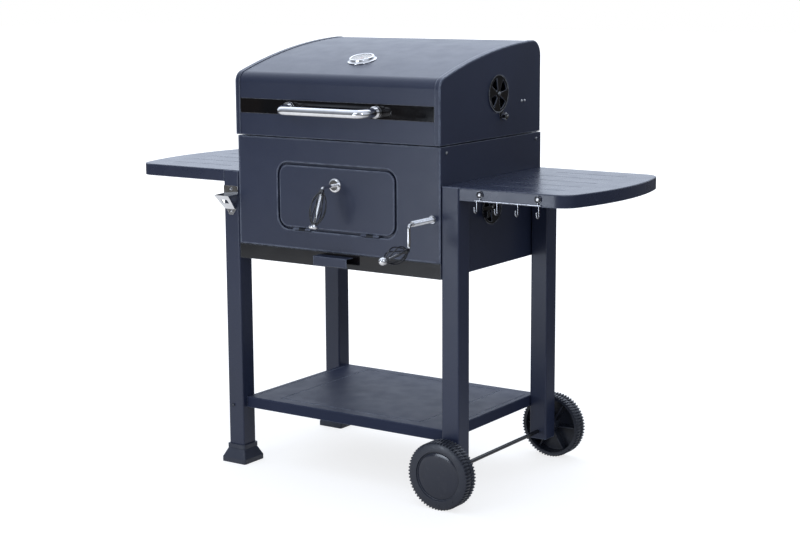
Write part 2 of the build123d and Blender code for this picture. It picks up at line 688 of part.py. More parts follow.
rosette_radius = 18
rosette_height = 7
with BuildPart() as door_rosette:
    rod((0, front_y - door_proud, latch_z), (0, -1, 0), rosette_radius, rosette_height)
    fillet(door_rosette.faces().sort_by(Axis.Y)[0].edges(), rosette_height - 1)
    rod((0, front_y - door_proud, latch_z), (0, -1, 0), latch_radius + running_gap, rosette_height, Mode.SUBTRACT)
save(door_rosette, "door_rosette")

tongue_gap = 0.8             # between the door's frame and the latch's tongue
tongue_y = front_y + frame_depth + sheet + tongue_gap
tongue_sheet = 2.5
tongue_half = 6
tongue_reach = 42
latch_cap_radius = 12.5
latch_cap_height = 6
latch_cap_round = 5
latch_knee = Vector(0, front_y - latch_reach, latch_z)
latch_foot = Vector(0, latch_foot_y, latch_foot_z)
with BuildPart() as door_latch:
    with BuildLine(Plane.YZ) as latch_path:
        FilletPolyline((tongue_y + tongue_sheet, latch_z), (latch_knee.Y, latch_knee.Z),
                       (latch_foot.Y, latch_foot.Z), radius=latch_bend)
    with BuildSketch(Plane(origin=(0, tongue_y + tongue_sheet, latch_z), z_dir=(0, -1, 0))):
        Circle(latch_radius)
    sweep(path=latch_path.line)
    slab((-tongue_half, tongue_reach), (tongue_y, tongue_y + tongue_sheet),
         (latch_z - tongue_half, latch_z + tongue_half))
    with Locations(Plane(origin=latch_foot, z_dir=latch_foot - latch_knee)):
        Cylinder(latch_cap_radius, latch_cap_height)
    fillet(door_latch.edges().filter_by(GeomType.CIRCLE).sort_by(Axis.Z)[0], latch_cap_round)
save(door_latch, "door_latch")

latch_direction = (latch_foot - latch_knee).normalized()
door_grip_length = 80
with BuildPart() as door_grip:
    cage(latch_knee + latch_direction * cage_start, latch_direction, door_grip_length,
         latch_radius + cage_bore_gap)
save(door_grip, "door_grip")

# ---------------------------------------------------------------- legs and feet
foot_width = 76
foot_depth = 78
foot_floor = 10
foot_base = 12
foot_neck = 36
foot_top = 47
foot_wall = 4
foot_round = 5
foot_draft = 1               # how far the foot's slope ends inside its collar
foot_fit = 0.2               # around a leg in its foot
axle_z = wheel_radius
screw_radius = 2
screw_hole = screw_radius + rivet_gap
opener_screw_drops = (47.5, 104.5)
opener_screws = tuple((-leg_x, shelf_top - drop) for drop in opener_screw_drops)
opener_sheet = 2
frame_screw_shift = 8
frame_screw = (-leg_x - frame_screw_shift, 150.5)
for name, side, y in (
    ("leg_front_left", -1, front_leg_y),
    ("leg_front_right", 1, front_leg_y),
    ("leg_back_left", -1, back_leg_y),
    ("leg_back_right", 1, back_leg_y),
):
    bottom = wheel_leg_bottom if side > 0 else foot_floor
    with BuildPart() as leg:
        with BuildSketch(Plane.XY.offset(bottom)):
            with Locations((side * leg_x, y)):
                RectangleRounded(leg_width, leg_depth, leg_round)
                RectangleRounded(leg_width - 2 * leg_wall, leg_depth - 2 * leg_wall, leg_round - leg_wall,
                                 mode=Mode.SUBTRACT)
        extrude(amount=leg_top - bottom)
        for z in (upper_bolt_z, lower_bolt_z, shelf_bolt_z):
            rod((side * leg_in, y, z), (side, 0, 0), bolt_hole, leg_wall, Mode.SUBTRACT)
        if side > 0:
            rod((leg_x, y - leg_depth / 2, axle_z), (0, 1, 0), axle_radius, leg_depth, Mode.SUBTRACT)
        elif y == front_leg_y:
            for x, z in (*opener_screws, frame_screw):
                rod((x, front_y, z), (0, 1, 0), screw_hole, leg_wall, Mode.SUBTRACT)
    save(leg, name)

for name, y in (("foot_front_left", front_leg_y), ("foot_back_left", back_leg_y)):
    with BuildPart() as foot:
        with BuildSketch():
            with Locations((-leg_x, y)):
                RectangleRounded(foot_width, foot_depth, foot_round)
        extrude(amount=foot_base)
        with BuildSketch(Plane.XY.offset(foot_base)):
            with Locations((-leg_x, y)):
                RectangleRounded(foot_width, foot_depth, foot_round)
        with BuildSketch(Plane.XY.offset(foot_neck)):
            with Locations((-leg_x, y)):
                RectangleRounded(leg_width + 2 * (foot_wall - foot_draft), leg_depth + 2 * (foot_wall - foot_draft),
                                 foot_round)
        loft()
        with BuildSketch(Plane.XY.offset(foot_neck)):
            with Locations((-leg_x, y)):
                RectangleRounded(leg_width + 2 * foot_wall, leg_depth + 2 * foot_wall, foot_round)
        extrude(amount=foot_top - foot_neck)
        with BuildSketch(Plane.XY.offset(foot_floor)):
            with Locations((-leg_x, y)):
                RectangleRounded(leg_width + 2 * foot_fit, leg_depth + 2 * foot_fit, leg_round)
        extrude(amount=foot_top - foot_floor, mode=Mode.SUBTRACT)
    save(foot, name)

# ---------------------------------------------------------------- bottom shelf
bottom_shelf_top = 174
bottom_shelf_drop = 28
bottom_shelf_half = leg_in - free_gap
bottom_shelf_inset = 15
bottom_shelf_round = 2
edge_groove_inset = 14
panel_groove_inset = 90
groove_end_inset = 30
groove_width = 3
groove_depth = 0.6
with BuildPart() as bottom_shelf:
    y_low = front_y + bottom_shelf_inset
    y_high = back_y - bottom_shelf_inset
    slab((-bottom_shelf_half, bottom_shelf_half), (y_low, y_high),
         (bottom_shelf_top - bottom_shelf_drop, bottom_shelf_top))
    fillet(bottom_shelf.faces().sort_by(Axis.Z)[-1].edges(), bottom_shelf_round)
    slab((-bottom_shelf_half + sheet, bottom_shelf_half - sheet), (y_low + sheet, y_high - sheet),
         (bottom_shelf_top - bottom_shelf_drop, bottom_shelf_top - sheet), Mode.SUBTRACT)
    for side in (-1, 1):
        for inset in (edge_groove_inset, panel_groove_inset):
            x = side * (bottom_shelf_half - inset)
            slab((x - groove_width / 2, x + groove_width / 2), (y_low + groove_end_inset, y_high - groove_end_inset),
                 (bottom_shelf_top - groove_depth, bottom_shelf_top), Mode.SUBTRACT)
        for y in leg_bolt_ys:
            rod((side * (bottom_shelf_half - sheet), y, shelf_bolt_z), (side, 0, 0), bolt_hole, sheet,
                Mode.SUBTRACT)
    for y in (y_low + groove_end_inset, y_high - groove_end_inset):
        slab((panel_groove_inset - bottom_shelf_half, bottom_shelf_half - panel_groove_inset),
             (y - groove_width / 2, y + groove_width / 2),
             (bottom_shelf_top - groove_depth, bottom_shelf_top), Mode.SUBTRACT)
save(bottom_shelf, "bottom_shelf")

# ---------------------------------------------------------------- side shelves
shelf_front = front_y + 2
shelf_back = back_y - 4
shelf_middle = (shelf_front + shelf_back) / 2
shelf_plank_lines = 5
plank_line_inset = 40
shelf_edge_round = 2.5
hook_start = 48.2            # from the leg's outer face to the first hook
hook_pitch = 54
hook_count = 4
hook_xs = [leg_out + hook_start + step * hook_pitch for step in range(hook_count)]
hook_screw_xs = (hook_xs[0] + 8, hook_xs[-1] - 3)
rail_screw_z = shelf_top - 13
with BuildPart() as plain_shelf:
    with BuildSketch(Plane.XY.offset(shelf_top - shelf_drop)) as shelf_outline:
        with BuildLine():
            front_edge = Line((leg_in, shelf_front), (shelf_corner_x, shelf_front))
            bow = ThreePointArc(front_edge @ 1, (shelf_tip_x, shelf_middle), (shelf_corner_x, shelf_back))
            Polyline(bow @ 1, (leg_in, shelf_back), front_edge @ 0)
        make_face()
        fillet(shelf_outline.vertices().group_by(Axis.X)[-1], shelf_corner)
    extrude(amount=shelf_drop)
    fillet(plain_shelf.faces().sort_by(Axis.Z)[-1].edges().filter_by(Axis.Y, reverse=True), shelf_edge_round)
    with BuildSketch(Plane.XY.offset(shelf_top - shelf_drop)):
        offset(shelf_outline.sketch, amount=-sheet, kind=Kind.INTERSECTION)
    extrude(amount=shelf_drop - sheet, mode=Mode.SUBTRACT)
    slab((leg_in - past, leg_out + free_gap), (shelf_front - past, shelf_back + past),
         (shelf_top - shelf_drop - past, shelf_top - sheet), Mode.SUBTRACT)
    for step in range(shelf_plank_lines):
        y = shelf_front + (shelf_back - shelf_front) * (step + 1) / (shelf_plank_lines + 1)
        slab((leg_out + plank_line_inset, shelf_corner_x - shelf_corner),
             (y - groove_width / 2, y + groove_width / 2), (shelf_top - groove_depth, shelf_top), Mode.SUBTRACT)

with BuildPart() as side_shelf_right:
    add(plain_shelf.part)
    for x in hook_screw_xs:
        rod((x, shelf_front, rail_screw_z), (0, 1, 0), screw_hole, sheet, Mode.SUBTRACT)
save(side_shelf_right, "side_shelf_right")

with BuildPart() as side_shelf_left:
    mirror(plain_shelf.part, about=Plane.YZ)
save(side_shelf_left, "side_shelf_left")

shelf_bracket_length = 70
shelf_bracket_width = 30
shelf_bracket_sheet = 2
shelf_bracket_rise = 2       # of its lower edge above the shelf's flange
with BuildPart() as shelf_brackets:
    for side in (-1, 1):
        for y in leg_bolt_ys:
            span = (y - shelf_bracket_width / 2, y + shelf_bracket_width / 2)
            slab(sorted((side * leg_out, side * (leg_out + shelf_bracket_length))), span,
                 (leg_top - shelf_bracket_sheet, leg_top))
            slab(sorted((side * leg_out, side * (leg_out + shelf_bracket_sheet))), span,
                 (shelf_top - shelf_drop + shelf_bracket_rise, leg_top - shelf_bracket_sheet))
save(shelf_brackets, "shelf_brackets")

# ---------------------------------------------------------------- bolts, rivets and screws
bolt_seat = side_in - sheet
spacer_radius = 8
with BuildPart() as frame_bolts:
    for side in (-1, 1):
        for y in leg_bolt_ys:
            for z in (upper_bolt_z, lower_bolt_z):
                rod((side * bolt_seat, y, z), (-side, 0, 0), bolt_head_radius, bolt_head)
                rod((side * bolt_seat, y, z), (side, 0, 0), bolt_radius, leg_in + leg_wall + bolt_nut - bolt_seat)
                rod((side * side_out, y, z), (side, 0, 0), spacer_radius, leg_gap)
                rod((side * (leg_in + leg_wall), y, z), (side, 0, 0), bolt_head_radius, bolt_nut)
            rod((side * (bottom_shelf_half - sheet), y, shelf_bolt_z), (-side, 0, 0), bolt_head_radius, bolt_head)
            rod((side * (bottom_shelf_half - sheet), y, shelf_bolt_z), (side, 0, 0), bolt_radius,
                leg_in + leg_wall + bolt_nut - bottom_shelf_half + sheet)
            rod((side * (leg_in + leg_wall), y, shelf_bolt_z), (side, 0, 0), bolt_head_radius, bolt_nut)
save(frame_bolts, "frame_bolts")

pin_head_radius = 5
pin_head = 1.6
rivet_head = 1.4
rivet_head_rim = 2
rivet_tail = 1
with BuildPart() as body_rivets:
    for side in (-1, 1):
        for y in rivet_ys:
            rod((side * (side_in - sheet - rivet_tail), y, rivet_z), (side, 0, 0), rivet_radius + rivet_tail,
                rivet_tail)
            rod((side * (side_in - sheet), y, rivet_z), (side, 0, 0), rivet_radius, 2 * sheet)
            rod((side * side_out, y, rivet_z), (side, 0, 0), rivet_radius + rivet_head_rim, rivet_head)
        centre = (body_vent_y, body_vent_z)
        rod((side * (side_in - sheet), *centre), (side, 0, 0), pin_head_radius, sheet)
        rod((side * side_in, *centre), (side, 0, 0), vent_pin_radius, sheet + 2 * vent_gap + vent_disc_sheet)
        rod((side * (side_out + 2 * vent_gap + vent_disc_sheet), *centre), (side, 0, 0), pin_head_radius, pin_head)
save(body_rivets, "body_rivets")

screw_head_radius = 4.2
screw_head = 2.6
screw_washer_radius = 5.6
screw_washer = 1
screw_tail = 5
with BuildPart() as trim_screws:
    for x in hook_screw_xs:
        rod((x, shelf_front, rail_screw_z), (0, -1, 0), screw_washer_radius, screw_washer)
        rod((x, shelf_front - screw_washer, rail_screw_z), (0, -1, 0), screw_head_radius, screw_head)
        rod((x, shelf_front - screw_washer, rail_screw_z), (0, 1, 0), screw_radius, screw_washer + screw_tail)
    for (x, z), seat in (*((screw, opener_sheet) for screw in opener_screws), (frame_screw, 0)):
        rod((x, front_y - seat, z), (0, -1, 0), screw_head_radius, screw_head)
        rod((x, front_y - seat, z), (0, 1, 0), screw_radius, seat + screw_tail)
save(trim_screws, "trim_screws")

# ---------------------------------------------------------------- hooks and bottle opener
hook_wire = 1.75
eye_sheet = 2.8
eye_gap = 0.3                # between an eye and the washer in it
hook_turn = 5
hook_rise = 9
hook_drop = 55.8             # from the shelf's top to a hook's lowest point
hook_rail_tail = 5
eye_band = 2.4               # width of the ring that each eye is
rail_z = shelf_top - shelf_drop + 3
hook_low = shelf_top - hook_drop
rail_y = shelf_front - hook_wire - rivet_gap
eye_radius = screw_washer_radius + eye_gap
with BuildPart() as hook_rail:
    rod((hook_xs[0] - hook_rail_tail, rail_y, rail_z), (1, 0, 0), hook_wire,
        hook_xs[-1] - hook_xs[0] + 2 * hook_rail_tail)
    for x in hook_xs:
        with BuildLine(Plane.YZ.offset(x)) as hook_path:
            bottom = hook_low + hook_wire + hook_turn
            shank = Line((rail_y, rail_z), (rail_y, bottom))
            bend = ThreePointArc(shank @ 1, (rail_y - hook_turn, bottom - hook_turn),
                                 (rail_y - 2 * hook_turn, bottom))
            Line(bend @ 1, (rail_y - 2 * hook_turn, bottom + hook_rise))
        with BuildSketch(Plane(origin=(x, rail_y, rail_z), z_dir=(0, 0, -1))):
            Circle(hook_wire)
        sweep(path=hook_path.line)
    for x in hook_screw_xs:
        rod((x, rail_y, rail_z), (0, 0, 1), hook_wire, rail_screw_z - rail_z - eye_radius - 0.2)
        with BuildSketch(front_plane(rail_y + eye_sheet / 2)):
            with Locations((x, rail_screw_z)):
                Circle(eye_radius + eye_band)
                Circle(eye_radius, mode=Mode.SUBTRACT)
        extrude(amount=eye_sheet)
save(hook_rail, "hook_rail")

opener_width = 45
opener_screw_edge = 9
opener_bend_gap = 8
opener_tip_width = 33
opener_reach = 38
opener_top_z = shelf_top - 60
opener_tip_z = shelf_top - 96.5
opener_face = front_y - opener_sheet / 2
opener_head_z = opener_screws[0][1] + opener_screw_edge
opener_foot_z = opener_screws[1][1] - opener_screw_edge
opener_half_outline = (
    (opener_width / 2, opener_head_z),
    (opener_width / 2, opener_top_z - 3),
    (opener_tip_width / 2, opener_tip_z),
    (opener_tip_width / 6, opener_foot_z),
)
opener_outline = opener_half_outline + tuple((-x, z) for x, z in reversed(opener_half_outline))
with BuildPart() as bottle_opener:
    with BuildSketch(Plane.YZ.offset(-leg_x - opener_width / 2)):
        with BuildLine():
            Polyline((opener_face, opener_screws[0][1] + opener_bend_gap), (opener_face, opener_top_z),
                     (front_y - opener_reach, opener_top_z - 1.5), (front_y - 7, opener_tip_z),
                     (opener_face, opener_tip_z - 1), (opener_face, opener_screws[1][1] - opener_bend_gap))
        trace(line_width=opener_sheet)
    extrude(amount=opener_width)
    with BuildSketch(front_plane(front_y)):
        with BuildLine():
            Polyline(*((-leg_x + x, z) for x, z in opener_outline), close=True)
        make_face()
    extrude(amount=opener_reach + 5, mode=Mode.INTERSECT)
    slab((-leg_x - 10, -leg_x + 10), (front_y - opener_reach + 3, front_y - 14),
         (opener_top_z - 22, opener_top_z - 12), Mode.SUBTRACT)
    for x, z in opener_screws:
        rod((x, front_y, z), (0, -1, 0), screw_hole, opener_sheet, Mode.SUBTRACT)
    slab((-leg_x - opener_width, -leg_x + opener_width), (front_y, front_y + opener_sheet),
         (opener_screws[1][1] - 20, opener_screws[0][1] + 20), Mode.SUBTRACT)
save(bottle_opener, "bottle_opener")

# ---------------------------------------------------------------- axle and wheels
hub_radius = 14
wheel_front_y = front_y - wheel_gap - wheel_width / 2
wheel_back_y = back_y + wheel_gap + wheel_width / 2
hub_inset = 2                # from the wheel's inner face to the end of its hub
axle_depth = 30              # how far the axle reaches into a hub
axle_end_room = 0.5
axle_collar = 3
hub_front = wheel_front_y + wheel_width / 2 - hub_inset
hub_back = wheel_back_y - wheel_width / 2 + hub_inset
with BuildPart() as axle:
    rod((leg_x, hub_front - axle_depth, axle_z), (0, 1, 0), axle_radius, hub_back - hub_front + 2 * axle_depth)
    for start, direction, length in (
        (front_y, (0, -1, 0), front_y - hub_front - free_gap),
        (back_y, (0, 1, 0), hub_back - back_y - free_gap),
    ):
        rod((leg_x, start, axle_z), direction, axle_radius + axle_collar, length)
save(axle, "axle")

rim_wall = 9
lug_count = 64
lug_depth = 2.6
lug_width = 3.6
lug_row = 18
lug_gap = 2                  # between the two rows of lugs
lug_edge = 1                 # from the wheel's face to the first row
web_wall = 3.5
web_recess = 4
rim_inner = wheel_radius - rim_wall
hubcap_radius = 63
hubcap_height = 2.5
hubcap_set_back = 2
hubcap_round = 1.5
rib_count = 6
rib_wall = 3
rib_bite = 2                 # how far a rib runs into the rim and the hub
web_bite = 1
for name, middle, outward in (("wheel_front", wheel_front_y, -1), ("wheel_back", wheel_back_y, 1)):
    outer_face = middle + outward * wheel_width / 2
    with BuildPart() as wheel:
        rod((leg_x, outer_face, axle_z), (0, -outward, 0), wheel_radius - lug_depth, wheel_width)
        for row in (0, 1):
            start = outer_face - outward * (lug_edge + row * (lug_row + lug_gap))
            with BuildSketch(Plane(origin=(leg_x, start, axle_z), x_dir=(1, 0, 0), z_dir=(0, -outward, 0))):
                Circle(wheel_radius)
                Circle(wheel_radius - 2 * lug_depth, mode=Mode.SUBTRACT)
                with PolarLocations(wheel_radius, lug_count, start_angle=row * 180 / lug_count):
                    Rectangle(2 * lug_depth, lug_width, mode=Mode.SUBTRACT)
            extrude(amount=lug_row)
        rod((leg_x, outer_face, axle_z), (0, -outward, 0), rim_inner, wheel_width, Mode.SUBTRACT)
        rod((leg_x, outer_face - outward * web_recess, axle_z), (0, -outward, 0), rim_inner + web_bite, web_wall)
        rod((leg_x, outer_face - outward * hubcap_set_back, axle_z), (0, -outward, 0), hubcap_radius, hubcap_height)
        fillet(wheel.edges().filter_by(GeomType.CIRCLE).filter_by(
            lambda edge: abs(edge.radius - hubcap_radius) < 0.01).sort_by(Axis.Y)[0 if outward < 0 else -1],
            hubcap_round)
        rib_start = outer_face - outward * (web_recess + web_wall)
        with BuildSketch(Plane(origin=(leg_x, rib_start, axle_z), x_dir=(1, 0, 0), z_dir=(0, -outward, 0))):
            Circle(hub_radius)
            with PolarLocations((hub_radius + rim_inner) / 2, rib_count):
                Rectangle(rim_inner - hub_radius + 2 * rib_bite, rib_wall)
        extrude(amount=wheel_width - web_recess - web_wall - hub_inset)
        inner_face = outer_face - outward * (wheel_width - hub_inset)
        rod((leg_x, inner_face, axle_z), (0, outward, 0), axle_radius + running_gap,
            axle_depth + axle_end_room, Mode.SUBTRACT)
    save(wheel, name)

# ---------------------------------------------------------------- lid
lid_front = front_y - 5
lid_back = back_y - 7
lid_brow_z = lid_bottom + 150    # where the crown would meet the front
lid_nape_z = lid_bottom + 228    # where the crown would meet the back
lid_crown_rise = 18.5        # the crown's height over a straight line between them
lid_brow_radius = 28
lid_nape_radius = 38
cap_band = 15
lid_tuck = 20                # how far the outline is drawn below the rim before it is cut there
cap_skin = 1.2
cap_round = 2.4
shell_gap = 0.05
shell_inset = cap_skin + shell_gap

crown_chord = hypot(lid_back - lid_front, lid_nape_z - lid_brow_z)
crown_radius = (crown_chord ** 2 / 4 + lid_crown_rise ** 2) / (2 * lid_crown_rise)
crown_tilt = asin((lid_nape_z - lid_brow_z) / crown_chord)
chord_middle = ((lid_front + lid_back) / 2, (lid_brow_z + lid_nape_z) / 2)
crown_centre = (chord_middle[0] + (crown_radius - lid_crown_rise) * sin(crown_tilt),
                chord_middle[1] - (crown_radius - lid_crown_rise) * cos(crown_tilt))
crown_top = (chord_middle[0] - lid_crown_rise * sin(crown_tilt),
             chord_middle[1] + lid_crown_rise * cos(crown_tilt))


def lid_outline(inset):
    """The lid's side outline, open at the bottom rim, moved in from the front, crown and back."""
    below = lid_bottom - lid_tuck
    with BuildSketch() as outline:
        with BuildLine():
            Line((lid_front, below), (lid_front, lid_brow_z))
            ThreePointArc((lid_front, lid_brow_z), crown_top, (lid_back, lid_nape_z))
            Polyline((lid_back, lid_nape_z), (lid_back, below), (lid_front, below))
        make_face()
        fillet(outline.vertices().sort_by(Axis.Y)[-1], lid_nape_radius)
        fillet(outline.vertices().group_by(Axis.X)[0].sort_by(Axis.Y)[-1], lid_brow_radius)
        if inset > 0:
            offset(amount=-inset, kind=Kind.INTERSECTION)
        with Locations(((lid_front + lid_back) / 2, lid_bottom)):
            Rectangle(2 * (lid_back - lid_front), 3 * lid_tuck, align=(Align.CENTER, Align.MAX), mode=Mode.SUBTRACT)
    return outline.sketch


outer_outline = lid_outline(0)
cap_inner_outline = lid_outline(cap_skin)
shell_outer_outline = lid_outline(shell_inset)
shell_inner_outline = lid_outline(shell_inset + sheet)
shell_half = lid_half - sheet

# the thermometer stands square on the crown
gauge_y = front_y + 115
gauge_tilt = asin((crown_centre[0] - gauge_y) / crown_radius)
gauge_z = crown_centre[1] + crown_radius * cos(gauge_tilt)
gauge_normal = Vector(0, -sin(gauge_tilt), cos(gauge_tilt))
gauge_seat = 0.1
gauge_lift = gauge_seat - shell_inset
gauge_plane = Plane(origin=Vector(0, gauge_y, gauge_z) + gauge_normal * gauge_lift, x_dir=(1, 0, 0),
                    z_dir=gauge_normal)
gauge_boss = 7
gauge_hole_gap = 0.3
gauge_hole_cut = 4
with BuildPart() as lid_shell:
    with BuildSketch(Plane.YZ.offset(-shell_half)):
        add(shell_outer_outline)
        add(shell_inner_outline, mode=Mode.SUBTRACT)
    extrude(amount=2 * shell_half)
    rod(gauge_plane.origin - gauge_normal * gauge_hole_cut, gauge_normal, gauge_boss + gauge_hole_gap,
        2 * gauge_hole_cut, Mode.SUBTRACT)
save(lid_shell, "lid_shell")

cap_inner_x = lid_half - cap_band
with BuildPart() as lid_cap_right:
    with BuildSketch(Plane.YZ.offset(cap_inner_x)):
        add(outer_outline)
    extrude(amount=cap_band)
    outer_rim = lid_cap_right.faces().sort_by(Axis.X)[-1].edges()
    fillet(outer_rim.filter_by(lambda edge: edge.center().Z > lid_bottom + 1), cap_round)
    with BuildSketch(Plane.YZ.offset(cap_inner_x)):
        add(cap_inner_outline)
    extrude(amount=cap_band - sheet, mode=Mode.SUBTRACT)
    with BuildSketch(Plane(origin=(lid_half - sheet, lid_vent_y, lid_vent_z), x_dir=(0, 1, 0), z_dir=(1, 0, 0))):
        add(lid_vent_cut)
        Circle(vent_pin_radius)
    extrude(amount=sheet, mode=Mode.SUBTRACT)
save(lid_cap_right, "lid_cap_right")

with BuildPart() as lid_cap_left:
    mirror(lid_cap_right.part, about=Plane.YZ)
save(lid_cap_left, "lid_cap_left")

trim_bottom = lid_bottom + 54
trim_height = 37
trim_sheet = 1
trim_end_gap = 0.3
trim_face = lid_front + shell_inset - trim_sheet
with BuildPart() as lid_trim:
    slab((trim_end_gap - cap_inner_x, cap_inner_x - trim_end_gap), (trim_face, trim_face + trim_sheet),
         (trim_bottom, trim_bottom + trim_height))
    fillet(lid_trim.edges().filter_by(Axis.X).group_by(Axis.Y)[0], strip_round)
save(lid_trim, "lid_trim")

# ---------------------------------------------------------------- lid handle
handle_half = 128
handle_radius = 11
handle_reach = 55
handle_bend = 26
handle_foot_z = trim_bottom + trim_height / 2
handle_droop = 4             # degrees that the bar hangs below its feet
handle_collar = 14.5
handle_collar_waist = 12.5
handle_collar_height = 12
handle_bead = 4.5
handle_seat = 0.1
handle_start = handle_collar * sin(radians(handle_droop)) + handle_seat
droop = radians(handle_droop)
handle_plane = Plane(origin=(0, trim_face, handle_foot_z), x_dir=(1, 0, 0), z_dir=(0, sin(droop), -cos(droop)))
with BuildPart() as lid_handle:
    with BuildLine(handle_plane) as handle_path:
        FilletPolyline((-handle_half, handle_start), (-handle_half, handle_reach), (handle_half, handle_reach),
                       (handle_half, handle_start), radius=handle_bend)
    with BuildSketch(Plane(origin=handle_path.line @ 0, z_dir=handle_path.line % 0)):
        Circle(handle_radius)
    sweep(path=handle_path.line)
    for end, away in ((0, 1), (1, -1)):
        foot = handle_path.line @ end
        out = (handle_path.line % end) * away
        rod(foot, out, handle_collar_waist, handle_collar_height)
        for start in (0, handle_collar_height - handle_bead):
            rod(foot + out * start, out, handle_collar, handle_bead)
save(lid_handle, "lid_handle")

# ---------------------------------------------------------------- lid thermometer
gauge_radius = 36.5
gauge_height = 10
gauge_window = 29.5
gauge_stem = 4
gauge_stem_length = 75
gauge_round = 4.5
gauge_floor = 3
gauge_boss_length = 7
dial_gap = 0.2
dial_sheet = 1
needle_hub = 2.5
needle_hub_height = 1.6
needle_sheet = 0.6
needle_width = 1.6
needle_length = 28
needle_shift = 8
glass_foot = 6.5
glass_sheet = 2
glass_gap = 0.1
with BuildPart() as thermometer_housing:
    rod(gauge_plane.origin, gauge_normal, gauge_radius, gauge_height)
    fillet(thermometer_housing.edges().filter_by(GeomType.CIRCLE).sort_by(Axis.Z)[-1], gauge_round)
    rod(gauge_plane.origin + gauge_normal * gauge_floor, gauge_normal, gauge_window, gauge_height, Mode.SUBTRACT)
    rod(gauge_plane.origin, -gauge_normal, gauge_boss, gauge_boss_length)
    rod(gauge_plane.origin, -gauge_normal, gauge_stem, gauge_stem_length)
save(thermometer_housing, "thermometer_housing")

with BuildPart() as thermometer_dial:
    dial_face = gauge_floor + dial_sheet
    rod(gauge_plane.origin + gauge_normal * gauge_floor, gauge_normal, gauge_window - dial_gap, dial_sheet)
    rod(gauge_plane.origin + gauge_normal * dial_face, gauge_normal, needle_hub, needle_hub_height)
    with BuildSketch(gauge_plane.offset(dial_face + needle_sheet)):
        with Locations((0, needle_shift)):
            Rectangle(needle_width, needle_length)
    extrude(amount=needle_sheet)
save(thermometer_dial, "thermometer_dial")

with BuildPart() as thermometer_glass:
    rod(gauge_plane.origin + gauge_normal * glass_foot, gauge_normal, gauge_window - glass_gap, glass_sheet)
save(thermometer_glass, "thermometer_glass")

nut_hex = 11
nut_seat = 1.4               # from the lid's sheet to the thermometer's nut
nut_thickness = 4


# ---------------------------------------------------------------- vent discs
def vent_disc(face_x, centre_y, centre_z, openings, knob_turn, knob_reach):
    """A turning vent disc with a beaded rim, four openings, a rivet hole and a knob."""
    base = Plane(origin=(face_x + vent_gap, centre_y, centre_z), x_dir=(0, 1, 0), z_dir=(1, 0, 0))
    arm = radians(knob_turn)
    knob = (knob_reach * cos(arm), knob_reach * sin(arm))
    with BuildSketch(base) as disc:
        Circle(vent_disc_radius)
        if knob_reach > vent_disc_radius:
            with Locations((knob[0] / 2, knob[1] / 2)):
                SlotCenterToCenter(knob_reach, 2 * (knob_radius + knob_arm_rim), rotation=knob_turn)
        add(openings, mode=Mode.SUBTRACT)
        Circle(vent_pin_radius + running_gap, mode=Mode.SUBTRACT)
    extrude(disc.sketch, amount=vent_disc_sheet)
    with BuildSketch(base.offset(vent_disc_sheet)) as bead:
        Circle(vent_disc_radius)
        Circle(vent_disc_radius - vent_bead, mode=Mode.SUBTRACT)
    extrude(bead.sketch, amount=vent_bead_height)
    knob_foot = base.offset(vent_disc_sheet).from_local_coords((*knob, 0))
    rod(knob_foot, (1, 0, 0), knob_neck_radius, knob_height)
    rod(knob_foot + Vector(knob_neck, 0, 0), (1, 0, 0), knob_radius, knob_height - knob_neck)


with BuildPart() as lid_damper_right:
    vent_disc(lid_half, lid_vent_y, lid_vent_z, lid_vent_cut, lid_knob_turn, lid_knob_reach)
save(lid_damper_right, "lid_damper_right")

with BuildPart() as lid_damper_left:
    mirror(lid_damper_right.part, about=Plane.YZ)
save(lid_damper_left, "lid_damper_left")

with BuildPart() as body_damper_right:
    vent_disc(side_out, body_vent_y, body_vent_z, body_vent_cut, body_knob_turn, body_knob_reach)
save(body_damper_right, "body_damper_right")

with BuildPart() as body_damper_left:
    mirror(body_damper_right.part, about=Plane.YZ)
save(body_damper_left, "body_damper_left")

with BuildPart() as lid_fasteners:
    with BuildSketch(gauge_plane.offset(-sheet - nut_seat)):
        RegularPolygon(nut_hex, 6)
        Circle(gauge_boss + rivet_gap, mode=Mode.SUBTRACT)
    extrude(amount=-nut_thickness)
    for side in (-1, 1):
        centre = (lid_vent_y, lid_vent_z)
        rod((side * (lid_half - 2 * sheet), *centre), (side, 0, 0), pin_head_radius, sheet)
        rod((side * (lid_half - sheet), *centre), (side, 0, 0), vent_pin_radius,
            sheet + 2 * vent_gap + vent_disc_sheet)
        rod((side * (lid_half + 2 * vent_gap + vent_disc_sheet), *centre), (side, 0, 0), pin_head_radius, pin_head)
save(lid_fasteners, "lid_fasteners")

